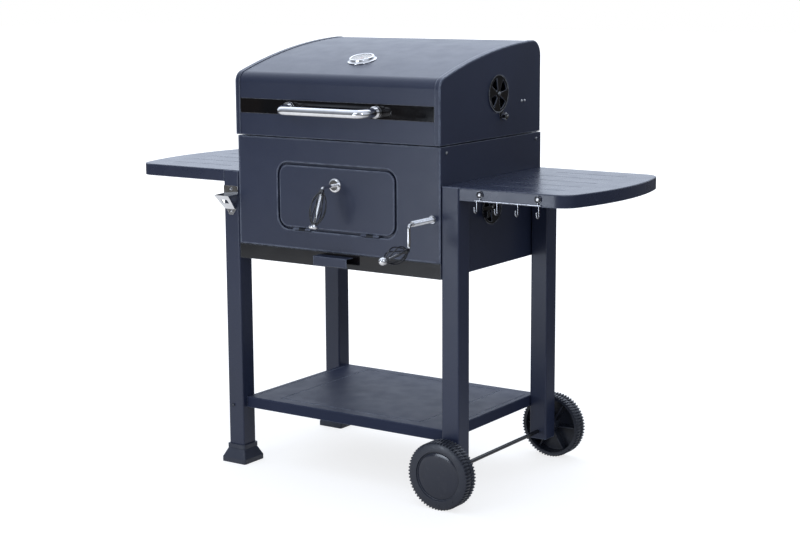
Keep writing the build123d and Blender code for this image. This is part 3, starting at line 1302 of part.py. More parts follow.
# ---------------------------------------------------------------- lid hinges
lid_axis_out = 8             # how far the hinge's axis lies behind the firebox
lid_axis_y = back_y + lid_axis_out
lid_axis_z = lid_bottom
lid_pin_radius = 3
lid_barrel = 6
lid_barrel_half = 13
ear_sheet = 3
ear_gap = 0.5                # between an ear and the barrel
ear_top = 4                  # of the ears' stems below the axis
ear_stem = 16
plate_sheet = 2
plate_drop = 8
plate_height = 32
hinge_nut = 2
with BuildPart() as lid_hinge_mounts:
    for side in (-1, 1):
        x = side * lid_hinge_x
        slab((x - lid_hinge_plate / 2, x + lid_hinge_plate / 2), (back_y, back_y + plate_sheet),
             (lid_axis_z - plate_drop - plate_height, lid_axis_z - plate_drop))
        for end in (-1, 1):
            ear = sorted((x + end * (lid_barrel_half + ear_gap), x + end * (lid_barrel_half + ear_gap + ear_sheet)))
            slab(ear, (back_y, lid_axis_y + lid_barrel), (lid_axis_z - ear_top - ear_stem, lid_axis_z - ear_top))
            slab(ear, (lid_axis_y - lid_barrel, lid_axis_y + lid_barrel), (lid_axis_z - ear_top, lid_axis_z))
            rod((ear[0], lid_axis_y, lid_axis_z), (1, 0, 0), lid_barrel, ear_sheet)
        rod((x - lid_barrel_half - ear_gap - ear_sheet, lid_axis_y, lid_axis_z), (1, 0, 0), lid_pin_radius,
            2 * (lid_barrel_half + ear_gap + ear_sheet))
        for shift in (-lid_hinge_screw_shift, lid_hinge_screw_shift):
            inner = back_y - sheet - hinge_nut
            outer = back_y + plate_sheet
            rod((x + shift, inner, lid_hinge_screw_z), (0, 1, 0), lid_hinge_screw_radius, outer + past - inner)
            for y in (inner, outer):
                rod((x + shift, y, lid_hinge_screw_z), (0, 1, 0), lid_hinge_screw_radius + hinge_nut, hinge_nut)
save(lid_hinge_mounts, "lid_hinge_mounts")

leaf_height = 32
leaf_sheet = 2
leaf_lift = 1                # of a leaf over the axis
shell_back = lid_back - shell_inset
with BuildPart() as lid_hinge_arms:
    for side in (-1, 1):
        x = side * lid_hinge_x
        span = (x - lid_barrel_half, x + lid_barrel_half)
        rod((span[0], lid_axis_y, lid_axis_z), (1, 0, 0), lid_barrel, 2 * lid_barrel_half)
        slab(span, (shell_back, lid_axis_y), (lid_axis_z + leaf_lift, lid_axis_z + leaf_lift + leaf_sheet))
        slab(span, (shell_back, shell_back + leaf_sheet), (lid_axis_z + leaf_lift, lid_axis_z + leaf_height))
        rod((span[0], lid_axis_y, lid_axis_z), (1, 0, 0), lid_pin_radius + running_gap,
            2 * lid_barrel_half, Mode.SUBTRACT)
save(lid_hinge_arms, "lid_hinge_arms")

print(len(pieces), "pieces; crown radius", round(crown_radius), "gauge height", round(gauge_z))
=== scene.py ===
"""Looks for the charcoal grill cart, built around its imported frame."""

import json
import logging
import math
from collections.abc import Callable, Iterable, Sequence
from dataclasses import dataclass, field
from enum import Enum

import bpy
from mathutils import Matrix, Vector


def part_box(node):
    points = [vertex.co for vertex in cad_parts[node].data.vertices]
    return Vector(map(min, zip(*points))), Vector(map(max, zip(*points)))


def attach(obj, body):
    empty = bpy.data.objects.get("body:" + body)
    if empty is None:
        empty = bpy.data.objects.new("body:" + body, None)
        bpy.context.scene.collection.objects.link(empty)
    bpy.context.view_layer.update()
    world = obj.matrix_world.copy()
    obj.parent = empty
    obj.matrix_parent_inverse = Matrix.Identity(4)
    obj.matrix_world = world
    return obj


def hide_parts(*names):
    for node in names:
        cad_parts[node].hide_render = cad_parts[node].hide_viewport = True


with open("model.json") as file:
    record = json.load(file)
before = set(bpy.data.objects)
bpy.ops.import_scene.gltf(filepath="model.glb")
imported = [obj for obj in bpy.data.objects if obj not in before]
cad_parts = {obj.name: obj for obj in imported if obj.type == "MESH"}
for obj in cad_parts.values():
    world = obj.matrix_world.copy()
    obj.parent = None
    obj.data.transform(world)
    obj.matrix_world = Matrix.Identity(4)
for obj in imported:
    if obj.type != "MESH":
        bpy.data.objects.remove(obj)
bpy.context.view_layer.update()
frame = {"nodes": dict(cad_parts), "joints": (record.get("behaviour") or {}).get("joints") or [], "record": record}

MM = 0.001
MIRROR = Matrix.Scale(-1, 4, Vector((1, 0, 0)))
Colour = tuple[float, float, float]
Point = tuple[float, float, float]
Pair = tuple[float, float]
Piece = bpy.types.Object
Socket = bpy.types.NodeSocket
log = logging.getLogger("grill")


# ---------------------------------------------------------------- finishes
class Slot(Enum):
    """The record's material slots."""

    BODY = "body_paint"
    TRIM = "trim_gloss"
    CHROME = "chrome"
    ZINC = "zinc"
    WIRE = "black_wire"
    ENAMEL = "grate_enamel"
    GALVANISED = "galvanised"
    WHEEL = "wheel_plastic"
    FOOT = "foot_plastic"
    DIAL = "dial_face"
    GLASS = "glass"


class NodeBoard:
    """A node tree with short ways to add what the finishes and the stage share."""

    def __init__(self, tree: bpy.types.NodeTree) -> None:
        """Take up the tree to work in."""
        self.tree = tree

    def lead(self, source: object, target: Socket) -> None:
        """Link a socket to an input, or set the input to a plain value.

        Args:
            source: The socket or the value.
            target: The input.
        """
        if isinstance(source, Socket):
            self.tree.links.new(source, target)
        else:
            target.default_value = source

    def add(self, kind: str, inputs: dict[str | int, object], **settings: object) -> bpy.types.NodeOutputs:
        """Add a node.

        Args:
            kind: Its type, without the ShaderNode that each type's name starts with.
            inputs: A socket or a plain value for each input, by its name or number.
            settings: The node's own settings.

        Returns:
            The node's outputs.
        """
        node = self.tree.nodes.new("ShaderNode" + kind)
        for key, value in settings.items():
            setattr(node, key, value)
        for key, value in inputs.items():
            self.lead(value, node.inputs[key])
        return node.outputs

    def combine(self, operation: str, first: Socket, second: Socket | float) -> Socket:
        """Return two values put together by one of the Math node's operations."""
        return self.add("Math", {0: first, 1: second}, operation=operation)[0]

    def remap(self, source: Socket, low: float = 0.0, high: float = 1.0, start: float = 0.3,
              end: float = 0.7, smooth: bool = False) -> Socket:
        """Return a value moved from one range to another.

        Args:
            source: The value that is read.
            low: What it becomes at start.
            high: What it becomes at end.
            start: The low end of what is read.
            end: The high end of what is read.
            smooth: Whether it eases in and out at the ends.

        Returns:
            The new value's socket.
        """
        ends = {"Value": source, "From Min": start, "From Max": end, "To Min": low, "To Max": high}
        easing = "SMOOTHSTEP" if smooth else "LINEAR"
        return self.add("MapRange", ends, interpolation_type=easing)["Result"]

    def show(self, output: str, factor: Socket, plain: Socket, other: Socket) -> None:
        """Lead two shaders into the tree's output, of which the other shows by a factor."""
        mixed = self.add("MixShader", {0: factor, 1: plain, 2: other})[0]
        self.lead(mixed, self.tree.nodes[output].inputs["Surface"])


class NodeSheet(NodeBoard):
    """A material's nodes round one principled shader."""

    def __init__(self, name: str) -> None:
        """Start the material.

        Args:
            name: Its name.
        """
        self.material = bpy.data.materials.new(name)
        self.material.use_nodes = True
        super().__init__(self.material.node_tree)
        self.shader = self.tree.nodes["Principled BSDF"]
        self.place = self.add("TexCoord", {})["Object"]

    def set(self, **values: object) -> None:
        """Set or feed the shader's own sockets.

        Args:
            values: Socket names, with spaces written as underscores, and a value or a socket for each.
        """
        for key, value in values.items():
            self.lead(value, self.shader.inputs[key.replace("_", " ")])

    def stretched(self, scale: Point) -> Socket:
        """Return the object's coordinates stretched by a scale on each axis."""
        return self.add("Mapping", {"Vector": self.place, "Scale": scale})["Vector"]

    def noise(self, scale: float, detail: float = 3.0, distortion: float = 0.0,
              place: Socket | None = None) -> Socket:
        """Return a noise pattern.

        Args:
            scale: Waves of the pattern to a metre.
            detail: How many finer layers it has.
            distortion: How far the pattern folds over itself.
            place: The coordinates it reads, or None for the object's own.

        Returns:
            The pattern's factor socket.
        """
        return self.add("TexNoise", {"Vector": place or self.place, "Scale": scale, "Detail": detail,
                                     "Distortion": distortion})["Fac"]

    def cells(self, scale: float) -> bpy.types.NodeOutputs:
        """Return the outputs of a pattern of cells, with so many cells to a metre."""
        return self.add("TexVoronoi", {"Vector": self.place, "Scale": scale})

    def blend(self, factor: Socket, low: Socket | Sequence[float], high: Socket | Sequence[float]) -> Socket:
        """Return a colour mixed from two.

        Args:
            factor: How much of the second colour shows.
            low: The first colour, plain or a socket.
            high: The second colour, plain or a socket.

        Returns:
            The mixed colour's socket.
        """
        low, high = (colour if isinstance(colour, Socket) else (*colour, 1) for colour in (low, high))
        return self.add("Mix", {"Factor": factor, 6: low, 7: high}, data_type="RGBA")[2]

    def bump(self, height: Socket, strength: float, depth: float, under: Socket | None = None) -> Socket:
        """Return a surface direction bent by a height pattern.

        Args:
            height: The pattern that is read as height.
            strength: How much of the bend shows, from 0 to 1.
            depth: The height of a full wave in metres.
            under: A coarser bump that this one lies on.

        Returns:
            The bent direction's socket.
        """
        inputs = {"Height": height, "Strength": strength, "Distance": depth}
        return self.add("Bump", inputs if under is None else {**inputs, "Normal": under})["Normal"]

    def rounded(self, radius: float) -> tuple[Socket, Socket]:
        """Soften the piece's edges.

        Args:
            radius: How far from an edge the surface starts to turn, in metres.

        Returns:
            The softened surface direction, and a factor that rises towards the edges.
        """
        soft = self.add("Bevel", {"Radius": radius}, samples=6)["Normal"]
        plain = self.add("NewGeometry", {})["Normal"]
        match = self.add("VectorMath", {0: soft, 1: plain}, operation="DOT_PRODUCT")["Value"]
        return soft, self.remap(match, 1.0, 0.0, 0.86, 0.995)


@dataclass(frozen=True)
class Finish:
    """A finish made of nodes alone."""

    name: str

    def build(self) -> bpy.types.Material:
        """Make the material.

        Returns:
            The finished material.
        """
        sheet = NodeSheet(self.name)
        self.fill(sheet)
        return sheet.material

    def fill(self, sheet: NodeSheet) -> None:
        """Add the nodes; each finish has its own."""
        raise NotImplementedError


@dataclass(frozen=True)
class PowderCoat(Finish):
    """Fine-textured blue-black powder coat on sheet steel, paler along its edges: partly rubbed wear, partly a
    painted highlight.
    """

    name: str = "powder_coat"
    deep: Colour = (0.020, 0.026, 0.053)
    pale: Colour = (0.028, 0.036, 0.072)
    dust: Colour = (0.080, 0.088, 0.115)
    # pale edge colour: rubbed wear, and also a painted highlight along the edges
    edge_wear_and_highlight: Colour = (0.34, 0.37, 0.45)
    rough: Pair = (0.32, 0.37)
    gloss: float = 0.5
    soften: float = 2.8 * MM

    def fill(self, sheet: NodeSheet) -> None:
        """Cloud and grain the paint, settle dust on it, and pale its edges as rubbed wear with a painted
        highlight.

        Args:
            sheet: The material's nodes.
        """
        colour = sheet.blend(sheet.remap(sheet.noise(2.6, 4.0, 0.4)), self.deep, self.pale)
        grains = sheet.noise(620.0, 2.0)
        colour = sheet.blend(sheet.remap(grains, 0.0, 0.16, 0.52, 0.75), colour, self.dust)
        settled = sheet.remap(sheet.noise(9.0, 5.0, 0.8), 0.0, 0.05, 0.50, 0.8)
        colour = sheet.blend(settled, colour, self.dust)
        soft, edge = sheet.rounded(self.soften)
        coarse = sheet.bump(sheet.noise(5.0, 1.0), 0.03, 0.004, soft)
        # mask of the pale edges: rubbed wear, and also a painted highlight on every edge
        edge_wear_and_highlight_mask = sheet.combine("MULTIPLY", edge, sheet.remap(sheet.noise(55.0, 4.0), 0.40, 1.0))
        sheet.set(Base_Color=sheet.blend(edge_wear_and_highlight_mask, colour, self.edge_wear_and_highlight),
                  Roughness=sheet.remap(sheet.noise(24.0, 5.0), *self.rough),
                  Normal=sheet.bump(grains, 0.12, 0.0004, coarse),
                  Specular_IOR_Level=self.gloss, Metallic=0.0)


@dataclass(frozen=True)
class GlossEnamel(Finish):
    """Smooth near-black stoving enamel that mirrors the room, with patches of painted warm reflection, faint wipe
    marks, and pale edges of wear with a painted highlight.
    """

    name: str = "gloss_enamel"
    base: Colour = (0.0030, 0.0034, 0.0050)
    # warm brown painted in patches as a reflection
    warm: Colour = (0.0085, 0.0060, 0.0055)
    # pale edge colour: worn-through enamel, and also a painted highlight along the edges
    worn_edge_and_highlight: Colour = (0.40, 0.41, 0.45)
    soften: float = 2.0 * MM

    def fill(self, sheet: NodeSheet) -> None:
        """Paint warm reflections on the enamel in places, wipe it, let its face flow, and pale its edges as wear
        with a painted highlight.

        Args:
            sheet: The material's nodes.
        """
        # patches where the warm reflection is painted on
        painted_warm_reflection_patches = sheet.remap(sheet.noise(6.0, 3.0, 0.7), start=0.45, end=0.75)
        colour = sheet.blend(painted_warm_reflection_patches, self.base, self.warm)
        soft, edge = sheet.rounded(self.soften)
        wipes = sheet.noise(30.0, 6.0, 1.2, sheet.stretched((0.35, 1.0, 3.0)))
        flow = sheet.bump(sheet.noise(11.0, 1.0), 0.22, 0.003, soft)
        # mask of the pale edges: wear, and also a painted highlight on every edge
        edge_wear_and_highlight_mask = sheet.combine("MULTIPLY", edge, sheet.remap(sheet.noise(70.0, 4.0), 0.30, 0.95))
        sheet.set(Base_Color=sheet.blend(edge_wear_and_highlight_mask, colour, self.worn_edge_and_highlight),
                  Roughness=sheet.remap(wipes, 0.06, 0.15, 0.35, 0.75),
                  Normal=sheet.bump(sheet.noise(260.0, 1.0), 0.03, 0.0003, flow),
                  Specular_IOR_Level=0.45)


@dataclass(frozen=True)
class Plated(Finish):
    """Plated or bare bright metal, with a grain, smudges and a slightly uneven surface."""

    base: Colour
    dull: Colour
    rough: Pair
    grain: float = 500.0
    grain_depth: float = 0.0001
    wave: float = 0.05
    soften: float = 0.5 * MM

    def fill(self, sheet: NodeSheet) -> None:
        """Smudge the metal, grain it and make its face uneven.

        Args:
            sheet: The material's nodes.
        """
        smudge = sheet.remap(sheet.noise(22.0, 6.0, 0.9), start=0.42, end=0.72)
        soft, _ = sheet.rounded(self.soften)
        wave = sheet.bump(sheet.noise(26.0, 1.0), self.wave, 0.0012, soft)
        sheet.set(Base_Color=sheet.blend(smudge, self.base, self.dull),
                  Roughness=sheet.remap(sheet.noise(45.0, 6.0, 0.6), *self.rough, 0.38, 0.72),
                  Normal=sheet.bump(sheet.noise(self.grain, 2.0), 0.08, self.grain_depth, wave),
                  Metallic=1.0)


@dataclass(frozen=True)
class Spangled(Finish):
    """Galvanised sheet with the crystals that zinc leaves as it cools."""

    name: str = "galvanised_sheet"
    dark: Colour = (0.34, 0.35, 0.36)
    light: Colour = (0.56, 0.57, 0.58)
    crystals: float = 110.0

    def fill(self, sheet: NodeSheet) -> None:
        """Shade and roughen each crystal in its own way.

        Args:
            sheet: The material's nodes.
        """
        crystal = sheet.add("SeparateColor", {0: sheet.cells(self.crystals)["Color"]})[0]
        sheet.set(Base_Color=sheet.blend(crystal, self.dark, self.light),
                  Roughness=sheet.remap(crystal, 0.32, 0.52, 0.0, 1.0),
                  Normal=sheet.bump(sheet.noise(340.0), 0.08, 0.0003), Metallic=1.0)


@dataclass(frozen=True)
class Moulded(Finish):
    """Moulded plastic with a fine spark-eroded skin and dry scuffs."""

    base: Colour
    scuff: Colour
    rough: Pair
    skin: float = 0.22
    soften: float = 0.7 * MM

    def fill(self, sheet: NodeSheet) -> None:
        """Shade and scuff the plastic and give it its skin.

        Args:
            sheet: The material's nodes.
        """
        scuffs = sheet.remap(sheet.noise(34.0, 8.0, 1.5), 0.0, 0.35, 0.56, 0.78)
        shade = sheet.blend(sheet.remap(sheet.noise(6.0)), self.base, [part * 1.35 for part in self.base])
        soft, _ = sheet.rounded(self.soften)
        sheet.set(Base_Color=sheet.blend(scuffs, shade, self.scuff),
                  Roughness=sheet.remap(sheet.noise(60.0, 5.0), *self.rough),
                  Normal=sheet.bump(sheet.noise(1100.0, 2.0), self.skin, 0.0002, soft),
                  Specular_IOR_Level=0.5)


@dataclass(frozen=True)
class Enamelled(Finish):
    """Vitreous enamel, black with pale specks, a little browner where it was fired thick."""

    base: Colour = (0.010, 0.010, 0.011)
    speck: Colour = (0.22, 0.23, 0.24)
    rough: Pair = (0.22, 0.38)
    fired: Colour = (0.024, 0.018, 0.015)
    gloss: float = 0.5

    def fill(self, sheet: NodeSheet) -> None:
        """Brown the enamel in places, speckle it and make it lumpy.

        Args:
            sheet: The material's nodes.
        """
        fired = sheet.blend(sheet.remap(sheet.noise(18.0)), self.base, self.fired)
        specks = sheet.remap(sheet.cells(420.0)["Distance"], 0.7, 0.0, 0.10, 0.22)
        sheet.set(Base_Color=sheet.blend(specks, fired, self.speck),
                  Roughness=sheet.remap(sheet.noise(40.0), *self.rough),
                  Normal=sheet.bump(sheet.noise(150.0), 0.14, 0.0005),
                  Specular_IOR_Level=self.gloss)


@dataclass(frozen=True)
class DialFace(Finish):
    """Pale printed dial plate with a fine brushed sheen."""

    name: str = "dial_plate"
    base: Colour = (0.46, 0.46, 0.45)
    warm: Colour = (0.40, 0.39, 0.37)

    def fill(self, sheet: NodeSheet) -> None:
        """Brush the plate one way.

        Args:
            sheet: The material's nodes.
        """
        brush = sheet.noise(700.0, place=sheet.stretched((0.08, 1.0, 1.0)))
        sheet.set(Base_Color=sheet.blend(sheet.remap(brush), self.base, self.warm),
                  Roughness=sheet.remap(sheet.noise(80.0), 0.30, 0.42),
                  Normal=sheet.bump(brush, 0.05, 0.0001))


@dataclass(frozen=True)
class PrintInk(Finish):
    """Flat printing ink on the dial, slightly uneven."""

    base: Colour

    def fill(self, sheet: NodeSheet) -> None:
        """Lay the ink a little thinner in places.

        Args:
            sheet: The material's nodes.
        """
        thin = [part * 1.3 + 0.004 for part in self.base]
        sheet.set(Base_Color=sheet.blend(sheet.remap(sheet.noise(900.0)), self.base, thin),
                  Roughness=sheet.remap(sheet.noise(300.0), 0.45, 0.6))


@dataclass(frozen=True)
class WindowGlass(Finish):
    """Clear flat glass with a trace of grease."""

    name: str = "window_glass"
    tint: Colour = (0.96, 0.97, 0.98)
    clear: Colour = (0.99, 0.99, 0.99)

    def fill(self, sheet: NodeSheet) -> None:
        """Smear the clear glass faintly.

        Args:
            sheet: The material's nodes.
        """
        sheet.set(Base_Color=sheet.blend(sheet.remap(sheet.noise(60.0)), self.tint, self.clear),
                  Roughness=sheet.remap(sheet.noise(90.0, 5.0), 0.01, 0.06, 0.4, 0.8),
                  Transmission_Weight=1.0, IOR=1.45)


class Palette:
    """Every finish of the grill, each made once."""

    def __init__(self) -> None:
        """Make the materials."""
        moulding = (0.085, 0.090, 0.105)
        finishes = {
            Slot.BODY: PowderCoat(),
            Slot.TRIM: GlossEnamel(),
            Slot.CHROME: Plated("bright_chrome", (0.80, 0.79, 0.79), (0.62, 0.61, 0.61), (0.04, 0.13),
                                wave=0.16),
            Slot.ZINC: Plated("zinc_plate", (0.44, 0.45, 0.46), (0.30, 0.30, 0.30), (0.24, 0.42),
                              240.0, 0.0003),
            Slot.WIRE: Enamelled("wire_enamel", (0.006, 0.006, 0.009), (0.04, 0.04, 0.045), (0.10, 0.20),
                                 (0.010, 0.010, 0.014), 1.0),
            Slot.ENAMEL: Enamelled("grate_enamel"),
            Slot.GALVANISED: Spangled(),
            Slot.WHEEL: Moulded("wheel_plastic", (0.022, 0.025, 0.036), moulding, (0.26, 0.40)),
            Slot.FOOT: Moulded("foot_plastic", (0.028, 0.032, 0.048), moulding, (0.36, 0.50)),
            Slot.DIAL: DialFace(),
            Slot.GLASS: WindowGlass(),
        }
        self.by_slot = {slot: finish.build() for slot, finish in finishes.items()}
        smoked_chrome = Plated("smoked_chrome", (0.50, 0.51, 0.54), (0.20, 0.20, 0.22), (0.06, 0.18),
                               wave=0.25).build()
        self.black_zinc = Plated("black_zinc", (0.045, 0.047, 0.052), (0.025, 0.025, 0.028),
                                 (0.30, 0.45)).build()
        self.cap_plastic = Moulded("wheel_cap_plastic", (0.022, 0.025, 0.038), (0.060, 0.065, 0.078),
                                   (0.10, 0.18), 0.03).build()
        shelf_coat = PowderCoat("shelf_coat", rough=(0.25, 0.31), gloss=0.60).build()
        # wider soft edges for the door, front panel and lid caps, which also widens their painted edge highlight
        rolled_coat = PowderCoat("rolled_coat", soften=5.5 * MM).build()
        self.satin_thread = Plated("satin_thread", (0.88, 0.88, 0.90), (0.74, 0.74, 0.76),
                                   (0.20, 0.32)).build()
        self.ink = PrintInk("dial_ink", (0.015, 0.015, 0.016)).build()
        self.warm_ink = PrintInk("dial_warm_ink", (0.42, 0.06, 0.03)).build()
        self.apart = {
            "bottom_shelf": PowderCoat("sheltered_coat", rough=(0.44, 0.52), gloss=0.15).build(),
            "hook_rail": smoked_chrome,
            **dict.fromkeys(("door_panel", "front_panel", "lid_cap_left", "lid_cap_right"), rolled_coat),
            **dict.fromkeys(("side_shelf_left", "side_shelf_right"), shelf_coat),
            **dict.fromkeys(("door_hinge_mounts", "trim_screws"), self.black_zinc),
        }

    def dress(self, piece: Piece, slot: Slot, material: bpy.types.Material | None = None) -> None:
        """Give a piece one of the finishes.

        Args:
            piece: The mesh object.
            slot: The record's slot that the piece takes its finish from.
            material: Another material of the same kind, or None for the slot's own.
        """
        piece.data.materials.clear()
        piece.data.materials.append(material or self.by_slot[slot])

    def dress_frame(self) -> None:
        """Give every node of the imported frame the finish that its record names."""
        for entry in frame["record"]["subparts"]:
            node = frame["nodes"][entry["node"]]
            finish = self.apart.get(entry["node"], self.by_slot[Slot(entry["material_slot"])])
            node.data.materials.clear()
            node.data.materials.append(finish)
            log.info("%s dressed in %s", entry["node"], finish.name)


# ---------------------------------------------------------------- modelling by hand
def looks_up(middle: Vector, normal: Vector) -> bool:
    """Tell whether a face looks up."""
    return normal.z > 0.9


def centre_of(node: str) -> Vector:
    """Return the middle of a frame node's box."""
    return sum(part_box(node), Vector()) / 2


class Bench:
    """The moves that the pieces are modelled with."""

    @staticmethod
    def clear() -> None:
        """Leave edit mode and let go of everything."""
        if bpy.context.object is not None and bpy.context.object.mode != "OBJECT":
            bpy.ops.object.mode_set(mode="OBJECT")
        bpy.ops.object.select_all(action="DESELECT")

    @staticmethod
    def take(*pieces: Piece) -> None:
        """Select pieces and nothing else.

        Args:
            pieces: The pieces, of which the first becomes the active one.
        """
        Bench.clear()
        for piece in pieces:
            piece.select_set(True)
        bpy.context.view_layer.objects.active = pieces[0]

    @staticmethod
    def named(name: str) -> Piece:
        """Name the newest piece and bake its place into its mesh.

        Args:
            name: The name of the object and of its mesh.

        Returns:
            The piece.
        """
        piece = bpy.context.object
        piece.name = piece.data.name = name
        bpy.ops.object.transform_apply(location=True, rotation=True, scale=True)
        return piece

    @staticmethod
    def cylinder(name: str, radius: float, height: float, sides: int,
                 foot: Sequence[float] = (0, 0, 0)) -> Piece:
        """Add an upright cylinder, turned so that its first corner is in front.

        Args:
            name: The piece's name.
            radius: Its radius.
            height: Its height.
            sides: How many sides it has.
            foot: The middle of its lower end.

        Returns:
            The new piece.
        """
        Bench.clear()
        bpy.ops.mesh.primitive_cylinder_add(vertices=sides, radius=radius, depth=height,
                                            location=(foot[0], foot[1], foot[2] + height / 2),
                                            rotation=(0, 0, math.pi))
        return Bench.named(name)

    @staticmethod
    def block(name: str, middle: Sequence[float], size: Sequence[float], turn: float = 0.0) -> Piece:
        """Add a block.

        Args:
            name: The piece's name.
            middle: Its middle.
            size: Its length along each axis.
            turn: Its turn about Z in radians.

        Returns:
            The new piece.
        """
        Bench.clear()
        bpy.ops.mesh.primitive_cube_add(size=1, location=middle, rotation=(0, 0, turn), scale=size)
        return Bench.named(name)

    @staticmethod
    def pick(piece: Piece, test: Callable[[Vector, Vector], bool] | None = None) -> None:
        """Select faces and enter edit mode on them.

        Args:
            piece: The mesh object.
            test: Given a face's middle and normal, whether it is wanted; without it all of them are.
        """
        Bench.take(piece)
        bpy.ops.object.mode_set(mode="EDIT")
        bpy.context.tool_settings.mesh_select_mode = (False, False, True)
        bpy.ops.mesh.select_all(action="DESELECT")
        bpy.ops.object.mode_set(mode="OBJECT")
        for face in piece.data.polygons:
            face.select = test is None or test(face.center, face.normal)
        bpy.ops.object.mode_set(mode="EDIT")

    @staticmethod
    def terrace(steps: Iterable[Pair], across: float = MM, along: float = MM) -> None:
        """Step the picked faces inwards and along Z, and let go of them.

        Args:
            steps: How far each step goes inwards, and then along Z.
            across: What the first of these is measured in.
            along: What the second is measured in.
        """
        for inset, rise in steps:
            bpy.ops.mesh.inset(thickness=inset * across)
            bpy.ops.transform.translate(value=(0, 0, rise * along))
        Bench.clear()

    @staticmethod
    def apply(piece: Piece, kind: str, **settings: object) -> None:
        """Change a piece's mesh for good by a modifier.

        Args:
            piece: The mesh object.
            kind: The modifier's type.
            settings: The modifier's settings, in the order in which they are made.
        """
        modifier = piece.modifiers.new(kind.lower(), kind)
        for key, value in settings.items():
            setattr(modifier, key, value)
        Bench.take(piece)
        bpy.ops.object.modifier_apply(modifier=modifier.name)

    @staticmethod
    def bevel(piece: Piece, width: float, segments: int = 2, limit: float = 30.0) -> None:
        """Round the edges that are sharper than a limit in degrees."""
        Bench.apply(piece, "BEVEL", width=width, segments=segments, limit_method="ANGLE",
                    angle_limit=math.radians(limit))

    @staticmethod
    def merge(piece: Piece, tool: Piece, cut: bool = False) -> None:
        """Add a tool piece to a piece, or cut it away, and throw the tool away."""
        Bench.apply(piece, "BOOLEAN", operation="DIFFERENCE" if cut else "UNION", solver="EXACT", object=tool)
        bpy.data.objects.remove(tool)

    @staticmethod
    def done(piece: Piece, smooth: float) -> Piece:
        """Close a piece's edit: join doubles, point its faces out and smooth its shallow edges.

        Args:
            piece: The mesh object.
            smooth: The angle in degrees below which an edge is smooth.

        Returns:
            The same piece.
        """
        Bench.take(piece)
        bpy.ops.object.mode_set(mode="EDIT")
        bpy.ops.mesh.select_all(action="SELECT")
        bpy.ops.mesh.remove_doubles(threshold=0.000001)
        bpy.ops.mesh.normals_make_consistent(inside=False)
        bpy.ops.object.mode_set(mode="OBJECT")
        bpy.ops.object.shade_smooth_by_angle(angle=math.radians(smooth))
        return piece

    @staticmethod
    def copy(piece: Piece, name: str, move: Matrix) -> Piece:
        """Copy a piece with its own mesh.

        Args:
            piece: The mesh object.
            name: The copy's name.
            move: How the copy's mesh is moved from the piece's.

        Returns:
            The copy.
        """
        twin = piece.copy()
        twin.data = piece.data.copy()
        twin.name = twin.data.name = name
        bpy.context.scene.collection.objects.link(twin)
        twin.data.transform(move)
        if move.determinant() < 0:
            twin.data.flip_normals()
        return twin

    @staticmethod
    def join(name: str, pieces: Sequence[Piece]) -> Piece:
        """Join pieces into the first of them.

        Args:
            name: The name of the whole.
            pieces: The mesh objects.

        Returns:
            The whole.
        """
        Bench.take(*pieces)
        if len(pieces) > 1:
            bpy.ops.object.join()
        whole = bpy.context.object
        whole.name = whole.data.name = name
        return whole

    @staticmethod
    def ring(name: str, piece: Piece, count: int) -> Piece:
        """Spread copies of a piece evenly round the Z axis and join them.

        Args:
            name: The name of the whole.
            piece: The first of them.
            count: How many there are in all.

        Returns:
            The whole.
        """
        Bench.clear()
        turns = [Matrix.Rotation(step * math.tau / count, 4, "Z") for step in range(1, count)]
        return Bench.join(name, [piece, *(Bench.copy(piece, f"{name}_copy", turn) for turn in turns)])

    @staticmethod
    def aimed(axis: Vector) -> Matrix:
        """Return the turn that points Z along an axis."""
        return axis.to_track_quat("Z", "Y").to_matrix().to_4x4()


@dataclass
class Assembly:
    """A part of the grill that is modelled here and dressed from the palette."""

    palette: Palette


